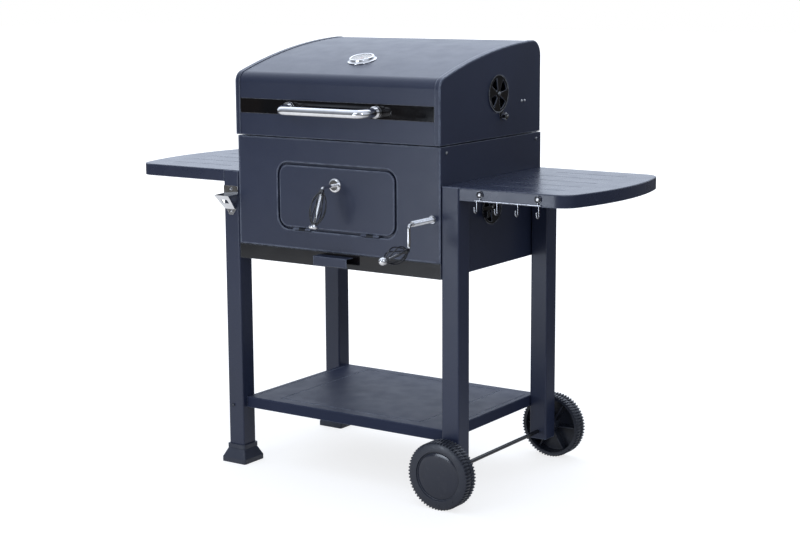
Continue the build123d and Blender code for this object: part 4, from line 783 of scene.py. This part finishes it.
@dataclass
class WireGrip(Assembly):
    """A grip of bowed wires round its rod, held by a turned collar at each end.

    The rod's bend and its far end are measured across the grill, out from the front panel and up.
    """

    name: str
    node: str
    body: str
    bend: Point
    far: Point
    lead: float = 12 * MM
    length: float = 80 * MM
    wires: int = 8
    wire: float = 1.5 * MM
    belly: float = 19.4 * MM
    neck: float = 5.0 * MM
    twist: float = -40.0
    steps: int = 30
    sides: int = 10
    collar_radius: float = 6.0 * MM
    near_collar: Pair = (-7 * MM, 11 * MM)
    far_collar: Pair = (76 * MM, 4 * MM)

    def run(self) -> tuple[Vector, Vector]:
        """Find the rod under the grip.

        Returns:
            The grip's start and the way that it points.
        """
        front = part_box("front_panel")[0].y
        bend, far = (Vector((across, front - out, up)) for across, out, up in (self.bend, self.far))
        along = (far - bend).normalized()
        return bend + along * self.lead, along

    def wind(self) -> Piece:
        """Wind the wires.

        Returns:
            All of them as one mesh, standing on the origin along Z.
        """
        rise = self.belly - self.neck
        bow = (self.length ** 2 / 4 + rise ** 2) / (2 * rise)
        half = math.asin(self.length / 2 / bow)
        Bench.clear()
        bpy.ops.mesh.primitive_circle_add(vertices=self.sides, radius=self.wire, fill_type="NGON",
                                          location=(self.neck, 0, 0), rotation=(0, half, 0))
        first = Bench.named(self.name + "_wire")
        Bench.pick(first)
        bpy.ops.mesh.spin(steps=self.steps, angle=2 * half, center=(self.belly - bow, 0, self.length / 2),
                          axis=(0, 1, 0))
        whole = Bench.ring(self.name, first, self.wires)
        Bench.apply(whole, "SIMPLE_DEFORM", deform_method="TWIST", deform_axis="Z",
                    angle=math.radians(self.twist))
        return whole

    def collar(self, at: float, height: float) -> Piece:
        """Turn a collar with a stepped face round the wires' ends.

        Args:
            at: Where its lower end is along the grip.
            height: Its height.

        Returns:
            The new piece.
        """
        ring = Bench.cylinder(f"{self.name}_collar", self.collar_radius, height, 32, (0, 0, at))
        Bench.pick(ring, lambda middle, normal: abs(normal.z) > 0.9)
        bpy.ops.mesh.inset(thickness=1.0 * MM)
        bpy.ops.transform.resize(value=(1, 1, 1.12), center_override=(0, 0, at + height / 2))
        Bench.bevel(ring, 0.4 * MM)
        return ring

    def build(self) -> None:
        """Make the grip in its place and let it stand for the frame's node."""
        start, along = self.run()
        collars = [self.collar(*place) for place in (self.near_collar, self.far_collar)]
        whole = Bench.join(self.name, [self.wind(), *collars])
        whole.data.transform(Matrix.Translation(start) @ Bench.aimed(along))
        Bench.done(whole, 50)
        self.palette.dress(whole, Slot.WIRE)
        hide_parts(self.node)
        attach(whole, self.body)
        log.info("%s on %s", whole.name, self.body)


@dataclass
class Wheel(Assembly):
    """A moulded wheel: two staggered rows of lugs, a smooth cap outside, and ribs and a hub inside."""

    node: str
    body: str
    radius: float = 82 * MM
    width: float = 40 * MM
    lugs: int = 62
    lug: float = 3.6 * MM
    lug_steps: tuple[Pair, ...] = ((0.20, 0.84), (0.28, 0.12), (0.35, 0.04))
    rows: Pair = (0.43, 0.53)
    cap_reach: float = 57.5 * MM
    cap_foot: float = 33 * MM
    cap_height: float = 2.4 * MM
    dome: tuple[Pair, ...] = ((4.0, 1.20), (8.0, 1.10), (10.0, 0.90), (12.0, 0.65), (12.0, 0.30))
    rim: float = 71 * MM
    hub: float = 15 * MM
    ribs: int = 6
    rib: float = 3.6 * MM
    rib_foot: float = 4 * MM
    recess: float = 29 * MM
    shoulder: float = 1.4 * MM

    @property
    def base(self) -> float:
        """The radius between the lugs."""
        return self.radius - self.lug

    def tread(self) -> Piece:
        """Mould the tyre and its two rows of lugs.

        Returns:
            The tyre, standing on its inner face along Z.
        """
        tyre = Bench.cylinder(self.node + "_tyre", self.base, self.width - self.shoulder, 2 * self.lugs)
        Bench.pick(tyre)
        for share in self.rows:
            bpy.ops.mesh.select_all(action="SELECT")
            bpy.ops.mesh.bisect(plane_co=(0, 0, self.width * share), plane_no=(0, 0, 1))
        Bench.pick(tyre, self.on_lug)
        for thickness, share in self.lug_steps:
            bpy.ops.mesh.inset(use_individual=True, thickness=thickness * MM, depth=self.lug * share)
        Bench.clear()
        return tyre

    def on_lug(self, middle: Vector, normal: Vector) -> bool:
        """Tell whether one of the tyre's faces carries a lug.

        Args:
            middle: The face's middle.
            normal: The way it looks.

        Returns:
            True for every second side face in the inner row, and for the others in the outer row.
        """
        sector = math.floor((math.atan2(middle.y, middle.x) % math.tau) * self.lugs / math.pi)
        outwards = middle.z / self.width - sum(self.rows) / 2
        return abs(normal.z) <= 0.1 and abs(outwards) >= 0.05 and sector % 2 == (outwards > 0)

    def shape_faces(self, tyre: Piece) -> None:
        """Turn the tyre's outer face round the cap's seat, and sink its inner face round the hub.

        Args:
            tyre: The tyre with its lugs.
        """
        recess = self.recess / MM
        Bench.pick(tyre, lambda middle, normal: normal.z > 0.9 and math.hypot(middle.x, middle.y) < MM)
        Bench.terrace(((1.6, 0.9), ((self.base - self.cap_reach) / MM - 3.5, 0.5), (0.9, -3.4), (0.6, -1.0)))
        Bench.pick(tyre, lambda middle, normal: normal.z < -0.9 and math.hypot(middle.x, middle.y) < MM)
        Bench.terrace(((1.6, 0.4), ((self.base - self.rim) / MM - 1.6, 0), (0.9, recess),
                       ((self.rim - self.hub) / MM - 1.9, 0), (0.6, 1.0 - recess), (1.2, -0.6)))

    def rib_star(self) -> Piece:
        """Mould the ribs between the hub and the rim.

        Returns:
            The star of ribs.
        """
        reach = self.rim - self.hub
        top = self.rib_foot + self.recess
        rib = Bench.block(self.node + "_rib", (self.hub + reach / 2, 0, top - self.recess / 2),
                          (reach + 1.0 * MM, self.rib, self.recess))
        Bench.pick(rib, lambda middle, normal: normal.x > 0.9)
        bpy.ops.transform.resize(value=(1, 1, 0.86), center_override=(self.rim, 0, top))
        Bench.bevel(rib, 0.5 * MM)
        return Bench.ring(self.node + "_ribs", rib, self.ribs)

    def cap(self) -> Piece:
        """Mould the smooth cap in the middle of the outer face.

        Returns:
            The cap.
        """
        cap = Bench.cylinder(self.node + "_cap", self.cap_reach, self.cap_height, 96, (0, 0, self.cap_foot))
        Bench.pick(cap, looks_up)
        Bench.terrace(self.dome)
        Bench.bevel(cap, 0.7 * MM, 3, 50)
        return cap

    def build(self) -> None:
        """Make the wheel in its place and let it stand for the frame's node."""
        low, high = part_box(self.node)
        middle = centre_of(self.node)
        outward = 1 if middle.y > 0 else -1
        inner = Vector((middle.x, low.y if outward > 0 else high.y, middle.z))
        place = Matrix.Translation(inner) @ Bench.aimed(Vector((0, outward, 0)))
        tyre = self.tread()
        self.shape_faces(tyre)
        Bench.bevel(tyre, 0.25 * MM, 1, 40)
        tyre = Bench.join(self.node + "_tyre", [tyre, self.rib_star()])
        for piece, finish in ((tyre, None), (self.cap(), self.palette.cap_plastic)):
            piece.data.transform(place)
            Bench.done(piece, 32)
            self.palette.dress(piece, Slot.WHEEL, finish)
            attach(piece, self.body)
            log.info("%s on %s", piece.name, self.body)
        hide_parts(self.node)


@dataclass(frozen=True)
class Fastener:
    """A round-headed screw or rivet, modelled once and copied to each place."""

    name: str
    radius: float
    height: float
    recess: bool = True
    sides: int = 32
    dome: tuple[Pair, ...] = ((0.10, 0.26), (0.16, 0.20), (0.24, 0.13), (0.22, 0.05))
    turns: Pair = (0.4, 0.9)

    def model(self) -> Piece:
        """Model the head.

        Returns:
            The head, standing on the origin along Z.
        """
        head = Bench.cylinder(self.name, self.radius, self.height * 0.35, self.sides)
        Bench.pick(head, looks_up)
        Bench.terrace(self.dome, self.radius, self.height)
        if self.recess:
            self.cut_cross(head)
        return Bench.done(head, 35)

    def cut_cross(self, head: Piece) -> None:
        """Sink a cross recess into the head's crown.

        Args:
            head: The domed head.
        """
        size = (self.radius * 1.05, self.radius * 0.22, self.height * 0.9)
        for turn in (0.0, math.pi / 2):
            Bench.merge(head, Bench.block(f"{self.name}_bit", (0, 0, self.height), size, turn), cut=True)

    def place(self, name: str, body: str, places: Iterable[tuple[Vector, Vector]], palette: Palette,
              slot: Slot = Slot.ZINC, material: bpy.types.Material | None = None) -> None:
        """Copy the head to each place as one piece that rides on a body.

        Args:
            name: The new piece's name.
            body: The body that it rides on.
            places: A foot point and a direction for each head.
            palette: The grill's finishes.
            slot: The finish that it takes.
            material: Another material for it, or None for the slot's own.
        """
        head = self.model()
        copies = []
        for number, (foot, axis) in enumerate(places):
            turn = Matrix.Rotation(self.turns[0] + self.turns[1] * number, 4, "Z")
            copies.append(Bench.copy(head, name, Matrix.Translation(foot) @ Bench.aimed(axis) @ turn))
        bpy.data.objects.remove(head)
        whole = Bench.join(name, copies)
        palette.dress(whole, slot, material)
        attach(whole, body)
        log.info("%s on %s", whole.name, body)


@dataclass
class VentKnobs(Assembly):
    """The lobed knobs that turn the four vent discs."""

    lobes: int = 3
    waist: float = 6.2 * MM
    lobe: float = 3.6 * MM
    reach: float = 10.2 * MM
    height: float = 10.6 * MM
    crown: float = 3.4 * MM
    crown_rise: float = 0.9 * MM

    def model(self) -> Piece:
        """Model the knob.

        Returns:
            The knob, standing on the origin along Z.
        """
        knob = Bench.cylinder("vent_knob", self.waist, self.height, 40)
        for step in range(self.lobes):
            turn = step * math.tau / self.lobes
            foot = Vector((math.cos(turn), math.sin(turn), 0)) * (self.reach - self.lobe)
            Bench.merge(knob, Bench.cylinder("vent_knob_lobe", self.lobe, self.height, 24, foot))
        foot = (0, 0, self.height - 0.1 * MM)
        crown = Bench.cylinder("vent_knob_crown", self.crown, self.crown_rise, 24, foot)
        Bench.pick(crown, looks_up)
        Bench.terrace(((1.0, 0.3),))
        Bench.bevel(knob, 0.6 * MM, 2, 50)
        return Bench.done(Bench.join("vent_knob", [knob, crown]), 45)

    def build(self) -> None:
        """Set a knob on each vent disc, over the disc's own knob."""
        knob = self.model()
        for part, slot in (("lid", Slot.CHROME), ("body", Slot.TRIM)):
            for side in ("right", "left"):
                node, rides = f"{part}_damper_{side}", f"{part}_vent_{side}"
                tip, y, z = self.spot(node)
                move = Matrix.Translation(Vector((tip - self.height - self.crown_rise, y, z)))
                move = move @ Bench.aimed(Vector((1, 0, 0)))
                piece = Bench.copy(knob, node + "_knob", move if side == "right" else MIRROR @ move)
                self.palette.dress(piece, slot)
                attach(piece, rides)
                log.info("%s on %s", piece.name, rides)
        bpy.data.objects.remove(knob)

    @staticmethod
    def spot(node: str) -> tuple[float, float, float]:
        """Find where a disc's knob ends.

        Args:
            node: The disc's frame node.

        Returns:
            How far out the disc's outermost points are, and the y and z of their middle.
        """
        low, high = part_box(node)
        reach = max(abs(low.x), abs(high.x))
        points = [vertex.co for vertex in frame["nodes"][node].data.vertices]
        tips = [point for point in points if abs(abs(point.x) - reach) < 0.1 * MM]
        ys, zs = [tip.y for tip in tips], [tip.z for tip in tips]
        return reach, (min(ys) + max(ys)) / 2, (min(zs) + max(zs)) / 2


@dataclass
class CrankThread(Assembly):
    """The coarse rolled thread on the crank's shaft, from its bend to the front panel."""

    pitch: float = 2.6 * MM
    core: float = 5.95 * MM
    crest: float = 7.0 * MM
    flank: float = 0.46
    reach: float = 83 * MM
    steps: int = 20

    def build(self) -> None:
        """Wind the thread along the shaft in front of its bush."""
        root = self.pitch * self.flank
        Bench.clear()
        bpy.ops.mesh.primitive_circle_add(vertices=4, radius=root, fill_type="NOTHING",
                                          location=(self.core, 0, 0), rotation=(math.pi / 2, 0, 0))
        ridge = Bench.named("crank_thread")
        bpy.ops.object.mode_set(mode="EDIT")
        bpy.ops.mesh.select_all(action="SELECT")
        bpy.ops.transform.resize(value=((self.crest - self.core) / root, 1, 1),
                                 center_override=(self.core, 0, 0))
        Bench.apply(ridge, "SCREW", axis="Z", angle=math.tau, screw_offset=self.pitch,
                    iterations=round(self.reach / self.pitch) - 1, steps=self.steps, render_steps=self.steps,
                    use_normal_calculate=True)
        bpy.ops.object.mode_set(mode="EDIT")
        bpy.context.tool_settings.mesh_select_mode = (True, False, False)
        bpy.ops.mesh.select_all(action="DESELECT")
        bpy.ops.mesh.select_non_manifold()
        bpy.ops.mesh.fill()
        bpy.ops.object.mode_set(mode="OBJECT")
        foot = centre_of("crank_bush")
        foot.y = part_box("crank_bush")[0].y - self.reach + self.pitch * 0.5
        ridge.data.transform(Matrix.Translation(foot) @ Bench.aimed(Vector((0, 1, 0))))
        Bench.done(ridge, 40)
        self.palette.dress(ridge, Slot.CHROME, self.palette.satin_thread)
        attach(ridge, "crank")
        log.info("%s on crank", ridge.name)


@dataclass
class Thermometer(Assembly):
    """The thermometer's rim, and its dial with printed ticks, numbers, a warm band and a needle."""

    start: float = 225.0
    sweep: float = 270.0
    ticks: int = 31
    numbers: tuple[str, ...] = ("50", "100", "150", "200", "250", "300", "350")
    tick_sizes: tuple[Pair, Pair] = ((0.14, 0.7 * MM), (0.08, 0.4 * MM))
    tick_ring: float = 0.86
    number_ring: float = 0.55
    number_size: float = 0.24
    band_ring: float = 0.93
    band_start: float = -5.0
    band_sweep: float = 90.0
    needle_turn: float = -96.0
    needle_rise: float = 1.2 * MM
    print_depth: float = 0.12 * MM
    plate_depth: float = 0.8 * MM
    dial_rise: float = 4.0 * MM
    glass: float = 2.0 * MM
    tilt_step: float = 0.0001
    rim_steps: tuple[Pair, ...] = (
        (1.2, 36.5), (2.0, 36.0), (2.6, 34.8), (4.0, 33.2), (6.0, 32.0), (7.8, 31.2), (9.0, 30.6),
        (9.7, 29.8), (10.0, 28.6), (9.8, 27.4), (9.2, 26.4), (8.7, 26.0), (8.7, 29.6), (2.4, 29.6))
    place: Matrix = field(init=False)
    printed: Matrix = field(init=False)
    radius: float = field(init=False)

    def __post_init__(self) -> None:
        """Find the dial's own place, with its face along Z, the print's place on it, and its radius."""
        normal, right, middle = self.facing(), Vector((1, 0, 0)), centre_of("thermometer_dial")
        points = [vertex.co for vertex in frame["nodes"]["thermometer_dial"].data.vertices]
        lowest = min(round((point - middle).dot(normal), 5) for point in points)
        rim = [point for point in points if (point - middle).dot(normal) < lowest + 1.2 * MM]
        centre = sum(rim, Vector()) / len(rim)
        centre += normal * (lowest - (centre - middle).dot(normal) + 1.0 * MM)
        turn = Matrix((right, normal.cross(right), normal)).transposed().to_4x4()
        self.place = Matrix.Translation(centre) @ turn
        self.printed = self.place @ Matrix.Translation(Vector((0, 0, -self.print_depth)))
        self.radius = self.half_width("thermometer_dial")

    @staticmethod
    def half_width(node: str) -> float:
        """Return half of a frame node's width."""
        low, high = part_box(node)
        return (high.x - low.x) / 2

    def facing(self) -> Vector:
        """Find the way the dial faces from the height of its tilted glass's box.

        Returns:
            That direction.
        """
        low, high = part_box("thermometer_glass")
        across = 2 * self.half_width("thermometer_glass")
        tilt = math.asin((high.z - low.z) / math.hypot(across, self.glass)) - math.atan2(self.glass, across)
        tilt = math.ceil(tilt / self.tilt_step) * self.tilt_step
        return Vector((0, -math.sin(tilt), math.cos(tilt)))

    def angle(self, step: int, count: int) -> float:
        """Return the angle of one of a scale's evenly spread marks."""
        return math.radians(self.start - self.sweep * step / (count - 1))

    def rim(self) -> Piece:
        """Turn the rim: a foot flange, a waist and a rolled lip round a well for the dial.

        Returns:
            The rim in its place.
        """
        level, wide = self.rim_steps[0]
        rim = Bench.cylinder("gauge_rim", self.half_width("thermometer_housing"), level * MM, 96)
        Bench.pick(rim, looks_up)
        for height, width in self.rim_steps[1:]:
            bpy.ops.mesh.extrude_region_move(TRANSFORM_OT_translate={"value": (0, 0, (height - level) * MM)})
            bpy.ops.transform.resize(value=(width / wide, width / wide, 1),
                                     center_override=(0, 0, height * MM))
            level, wide = height, width
        Bench.clear()
        rim.data.transform(self.place @ Matrix.Translation(Vector((0, 0, -self.dial_rise))))
        return Bench.done(rim, 50)

    def plate(self) -> Piece:
        """Press the dial plate with a dished rim.

        Returns:
            The plate in its place.
        """
        plate = Bench.cylinder("dial_plate", self.radius, self.plate_depth, 96, (0, 0, -self.plate_depth))
        Bench.pick(plate, looks_up)
        Bench.terrace(((1.6, -0.4), (1.0, 0.2)))
        plate.data.transform(self.place)
        return Bench.done(plate, 30)

    def tick_marks(self) -> Piece:
        """Print the ring of tick marks, every fifth of them long.

        Returns:
            The marks as one piece.
        """
        kinds = []
        for share, width in self.tick_sizes:
            length = self.radius * share
            kinds.append(Bench.block("tick", (self.radius * self.tick_ring - length / 2, 0, 0),
                                     (length, width, self.print_depth)))
            Bench.bevel(kinds[-1], 0.04 * MM, 1)
        turns = [Matrix.Rotation(self.angle(step, self.ticks), 4, "Z") for step in range(self.ticks)]
        marks = [Bench.copy(kinds[step % 5 > 0], "dial_ticks", self.printed @ turn)
                 for step, turn in enumerate(turns)]
        for kind in kinds:
            bpy.data.objects.remove(kind)
        return Bench.join("dial_ticks", marks)

    def numerals(self) -> Piece:
        """Print the ring of numbers.

        Returns:
            The numbers as one piece.
        """
        words = []
        for step, text in enumerate(self.numbers):
            Bench.clear()
            bpy.ops.object.text_add(location=(0, 0, 0))
            letters = bpy.context.object.data
            letters.body = text
            letters.size = self.radius * self.number_size
            letters.align_x = letters.align_y = "CENTER"
            letters.extrude = 0.05 * MM
            bpy.ops.object.convert(target="MESH")
            word = bpy.context.object
            turn = self.angle(step, len(self.numbers))
            spot = Vector((math.cos(turn), math.sin(turn), 0)) * self.radius * self.number_ring
            word.data.transform(self.printed @ Matrix.Translation(spot))
            words.append(word)
        return Bench.join("dial_numbers", words)

    def band(self) -> Piece:
        """Print the warm band along the cooking range.

        Returns:
            The band.
        """
        Bench.clear()
        bpy.ops.mesh.primitive_plane_add(size=1, location=(0, 0, 0))
        band = Bench.named("dial_band")
        band.data.transform(Matrix.Translation(Vector((self.radius * self.band_ring, 0, 0)))
                            @ Matrix.Diagonal((self.radius * 0.06, 0.2 * MM, 1, 1)))
        Bench.pick(band)
        bpy.ops.mesh.extrude_region_move(TRANSFORM_OT_translate={"value": (0, 0, 0.1 * MM)})
        Bench.pick(band, lambda middle, normal: normal.y > 0.9)
        bpy.ops.mesh.spin(steps=30, angle=-math.radians(self.band_sweep), center=(0, 0, 0), axis=(0, 0, 1))
        Bench.clear()
        band.data.transform(self.printed @ Matrix.Rotation(math.radians(self.band_start), 4, "Z"))
        return Bench.done(band, 30)

    def needle(self) -> Piece:
        """Set the needle on its hub.

        Returns:
            The needle with the hub.
        """
        blade = Bench.block("dial_needle", (self.radius * 0.28, 0, self.needle_rise),
                            (self.radius * 0.96, 1.8 * MM, 0.35 * MM))
        Bench.pick(blade, lambda middle, normal: normal.x > 0.9)
        bpy.ops.transform.resize(value=(1, 0.15, 1),
                                 center_override=(self.radius * 0.76, 0, self.needle_rise))
        hub = Bench.cylinder("dial_hub", 2.4 * MM, 1.6 * MM, 24, (0, 0, 0.2 * MM))
        Bench.bevel(hub, 0.4 * MM)
        needle = Bench.join("dial_needle", [blade, hub])
        needle.data.transform(self.place @ Matrix.Rotation(math.radians(self.needle_turn), 4, "Z"))
        return Bench.done(needle, 30)

    def build(self) -> None:
        """Make the rim and the dial in their place and let them stand for the frame's nodes."""
        rim = self.rim()
        self.palette.dress(rim, Slot.CHROME)
        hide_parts("thermometer_housing")
        plate = self.plate()
        self.palette.dress(plate, Slot.DIAL)
        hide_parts("thermometer_dial")
        black = (self.tick_marks(), self.numerals())
        warm = (self.band(), self.needle())
        for piece in black:
            self.palette.dress(piece, Slot.DIAL, self.palette.ink)
        for piece in warm:
            self.palette.dress(piece, Slot.DIAL, self.palette.warm_ink)
        for piece in (rim, plate, *black, *warm):
            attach(piece, "lid")
            log.info("%s on lid", piece.name)


@dataclass
class Hardware(Assembly):
    """The visible screw and rivet heads."""

    pan: Fastener = Fastener("pan_head", 4.4 * MM, 3.0 * MM)
    washer: Fastener = Fastener("eye_washer", 8.0 * MM, 1.1 * MM, recess=False)
    rivet: Fastener = Fastener("rivet_head", 5.0 * MM, 2.4 * MM, recess=False)
    small: Fastener = Fastener("small_head", 3.6 * MM, 2.4 * MM)
    seated: float = 0.4 * MM
    leg_level: float = 0.4
    screw_reach: float = 20 * MM
    lid_screw_reaches: Pair = (370 * MM, 384 * MM)
    lid_screw_height: float = 81 * MM
    side_inset: float = 25 * MM
    side_drop: float = 15 * MM

    def build(self) -> None:
        """Set every head in its place."""
        self.screws()
        self.vent_rivets("lid", "lid", "lid_fasteners")
        self.vent_rivets("cart", "body", "body_rivets")
        self.end_screws()

    def screws(self) -> None:
        """Set heads over the shelf's, the opener's and the painted leg's screws, and the shelf's washers."""
        out = Vector((0, -1, 0))
        sunk = self.pan.height - self.seated
        feet = [tip - out * sunk for tip in self.tips("trim_screws")]
        painted = [(foot, out) for foot in feet if foot.z <= self.leg_level]
        self.pan.place("leg_screw_head", "cart", painted, self.palette, Slot.BODY)
        bright = [foot for foot in feet if foot.z > self.leg_level]
        washers = [(foot + out * (sunk - 0.2 * MM), out) for foot in bright if foot.x > 0]
        self.washer.place("hook_washers", "cart", washers, self.palette, material=self.palette.black_zinc)
        heads = [(foot + out * (self.pan.height * 0.8 if foot.x > 0 else 0), out) for foot in bright]
        self.pan.place("trim_screw_heads", "cart", heads, self.palette, Slot.CHROME)

    def tips(self, node: str) -> list[Vector]:
        """Find the separate screws in a frame node.

        Args:
            node: The frame node.

        Returns:
            The middle of each screw's front.
        """
        groups: list[list[Vector]] = []
        for vertex in frame["nodes"][node].data.vertices:
            for group in groups:
                if math.hypot(group[0].x - vertex.co.x, group[0].z - vertex.co.z) < self.screw_reach:
                    group.append(vertex.co)
                    break
            else:
                groups.append([vertex.co])
        spans = [[(min(axis), max(axis)) for axis in zip(*group)] for group in groups]
        return [Vector((sum(xs) / 2, ys[0], sum(zs) / 2)) for xs, ys, zs in spans]

    def vent_rivets(self, body: str, part: str, holder: str) -> None:
        """Set the rivets in the middles of the two vents on a body.

        Args:
            body: The body.
            part: What its vents' joints are named after.
            holder: The frame node that holds the shanks.
        """
        low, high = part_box(holder)
        places = []
        for side, way, edge in (("right", 1, high.x), ("left", -1, low.x)):
            joint = next(entry for entry in frame["joints"] if entry["name"] == f"{part}_vent_turn_{side}")
            foot = Vector((edge - way * self.seated, *joint["pos_m"][1:]))
            places.append((foot, Vector((way, 0, 0))))
        self.rivet.place(f"{body}_vent_rivets", body, places, self.palette)

    def end_screws(self) -> None:
        """Set two small screws on each end of the lid, and rivets near the firebox's upper corners."""
        ways = (Vector((1, 0, 0)), Vector((-1, 0, 0)))
        low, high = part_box("lid_cap_right")
        places = [(Vector((way.x * high.x, low.y + reach, low.z + self.lid_screw_height)), way)
                  for way in ways for reach in self.lid_screw_reaches]
        self.small.place("lid_end_screws", "lid", places, self.palette, Slot.CHROME)
        low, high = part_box("right_panel")
        places = [(Vector((way.x * (high.x + 1.0 * MM), y, high.z - self.side_drop)), way)
                  for way in ways for y in (low.y + self.side_inset, high.y - self.side_inset)]
        self.small.place("side_rivet_heads", "cart", places, self.palette)


# ---------------------------------------------------------------- the stage
@dataclass(frozen=True)
class Glow:
    """A soft patch of light on the room's wall, full within one cosine of its middle and gone at another."""

    way: Point
    power: float
    gone: float = 0.1
    full: float = 0.9


@dataclass(frozen=True)
class Lamp:
    """A soft lamp: its place, its width and height, and its power in watts."""

    name: str
    place: Point
    size: Pair
    power: float


@dataclass(frozen=True)
class Studio:
    """The pale floor, the soft lamps, the room and the camera."""

    eye: Point = (2.38187, -3.38425, 1.23679)
    yaw: float = 34.221
    pitch: float = -9.858
    roll: float = -0.301
    lens: float = 75.53
    sensor: float = 36.0
    clip_end: float = 60.0
    floor_size: float = 60.0
    floor_grey: tuple[float, ...] = (0.42, 0.42, 0.42, 1)
    floor_reach: Pair = (0.6, 2.6)
    floor_glow: Pair = (0.76, 1.0)
    mirror_middle: Point = (-0.9, -1.7, 0.0)
    mirror_reach: Pair = (1.2, 4.2)
    mirrored: float = 0.65
    gloom: float = 0.10
    room: tuple[float, ...] = (0.78, 0.86, 1.0, 1)
    behind: Glow = Glow((-0.60, 0.79, 0.12), 0.42, 0.3, 0.95)
    glows: tuple[Glow, ...] = (Glow((-0.60, 0.79, 0.12), 0.70), Glow((-0.25, -0.80, 0.60), 0.25),
                               Glow((0.85, -0.45, 0.30), 0.70, 0.7, 0.97),
                               Glow((-0.25, 0.25, 0.92), 0.90, 0.35, 0.9))
    lamp_tint: Colour = (0.80, 0.88, 1.0)
    lamp_aim: Point = (0.0, 0.0, 0.6)
    lamps: tuple[Lamp, ...] = (Lamp("key_lamp", (-0.8, -3.3, 2.7), (1.6, 1.6), 16),
                               Lamp("front_lamp", (-0.98, -3.0, 0.40), (0.90, 0.55), 12),
                               Lamp("right_lamp", (2.9, -3.4, 2.4), (0.5, 1.6), 14),
                               Lamp("top_lamp", (-0.4, 1.4, 3.6), (2.0, 2.0), 14))

    def camera(self) -> None:
        """Set the camera."""
        data = bpy.data.cameras.new("camera")
        data.lens, data.sensor_width, data.clip_end = self.lens, self.sensor, self.clip_end
        camera = bpy.data.objects.new("camera", data)
        bpy.context.scene.collection.objects.link(camera)
        turns = ((self.yaw, "Z"), (90 + self.pitch, "X"), (self.roll, "Z"))
        yaw, pitch, roll = (Matrix.Rotation(math.radians(turn), 4, axis) for turn, axis in turns)
        camera.matrix_world = Matrix.Translation(Vector(self.eye)) @ yaw @ pitch @ roll
        bpy.context.scene.camera = camera

    def floor(self) -> None:
        """Lay the floor, white where it is seen, and darker in mirrors the farther it lies from the front."""
        Bench.clear()
        bpy.ops.mesh.primitive_plane_add(size=self.floor_size, location=(0, 0, 0))
        floor = Bench.named("studio_floor")
        sheet = NodeSheet("studio_floor")
        sheet.set(Base_Color=self.floor_grey, Roughness=0.9, Specular_IOR_Level=0.0)
        path = sheet.add("LightPath", {})
        reach = sheet.add("VectorMath", {0: sheet.place}, operation="LENGTH")["Value"]
        away = sheet.remap(reach, *self.floor_glow, *self.floor_reach)
        middle = {0: sheet.place, 1: self.mirror_middle}
        reach = sheet.add("VectorMath", middle, operation="DISTANCE")["Value"]
        fade = sheet.remap(reach, self.mirrored, 0.0, *self.mirror_reach, smooth=True)
        far = sheet.remap(reach, 0.0, 1.0, *self.mirror_reach, smooth=True)
        mirrored = sheet.combine("MULTIPLY", path["Is Glossy Ray"], fade)
        most = sheet.combine("MAXIMUM", path["Is Camera Ray"], mirrored)
        glow = sheet.add("Emission", {"Strength": sheet.combine("MULTIPLY", most, away)})[0]
        lit = sheet.add("AddShader", {0: sheet.shader.outputs[0], 1: glow})[0]
        dim = sheet.add("Emission", {"Strength": self.gloom})[0]
        dimmed = sheet.combine("MULTIPLY", far, path["Is Glossy Ray"])
        sheet.show("Material Output", dimmed, lit, dim)
        floor.data.materials.append(sheet.material)

    def world(self) -> None:
        """Fill the room with soft patches of light, white where it is seen."""
        world = bpy.data.worlds.new("studio")
        bpy.context.scene.world = world
        world.use_nodes = True
        board = NodeBoard(world.node_tree)
        path = board.add("LightPath", {})
        around = board.add("TexCoord", {})["Generated"]
        patches = []
        for glow in (self.behind, *self.glows):
            ways = {0: around, 1: Vector(glow.way).normalized()}
            near = board.add("VectorMath", ways, operation="DOT_PRODUCT")["Value"]
            patches.append(board.remap(near, 0.0, glow.power, glow.gone, glow.full, smooth=True))
        total = board.combine("MULTIPLY", path["Is Glossy Ray"], patches[0])
        for patch in (*patches[1:], self.gloom):
            total = board.combine("ADD", total, patch)
        room = board.add("Background", {"Color": self.room, "Strength": total})[0]
        seen = board.add("Background", {"Color": (1, 1, 1, 1)})[0]
        white = board.combine("MAXIMUM", path["Is Camera Ray"], path["Is Transmission Ray"])
        board.show("World Output", white, room, seen)

    def light(self) -> None:
        """Hang the lamps."""
        aim = Vector(self.lamp_aim)
        for lamp in self.lamps:
            data = bpy.data.lights.new(lamp.name, "AREA")
            data.shape = "RECTANGLE"
            data.size, data.size_y = lamp.size
            data.energy, data.color = lamp.power, self.lamp_tint
            hung = bpy.data.objects.new(lamp.name, data)
            bpy.context.scene.collection.objects.link(hung)
            place = Vector(lamp.place)
            hung.matrix_world = Matrix.Translation(place) @ Bench.aimed(place - aim)

    def build(self) -> None:
        """Set the whole stage."""
        bpy.context.scene.view_settings.view_transform = "Standard"
        self.camera()
        self.floor()
        self.world()
        self.light()


def main() -> None:
    """Build every piece in order and report it."""
    palette = Palette()
    palette.dress_frame()
    Studio().build()
    WireGrip(palette, "door_grip_wires", "door_grip", "latch", (0, 52 * MM, 740 * MM),
             (0, 90 * MM, 647 * MM)).build()
    WireGrip(palette, "crank_grip_wires", "crank_grip", "crank", (277 * MM, 97 * MM, 621 * MM),
             (277 * MM, 201 * MM, 609 * MM)).build()
    CrankThread(palette).build()
    VentKnobs(palette).build()
    Thermometer(palette).build()
    Hardware(palette).build()
    Wheel(palette, "wheel_front", "front_wheel").build()
    Wheel(palette, "wheel_back", "back_wheel").build()


if __name__ == "__main__":
    logging.basicConfig(level=logging.INFO, format="%(name)s %(message)s")
    main()
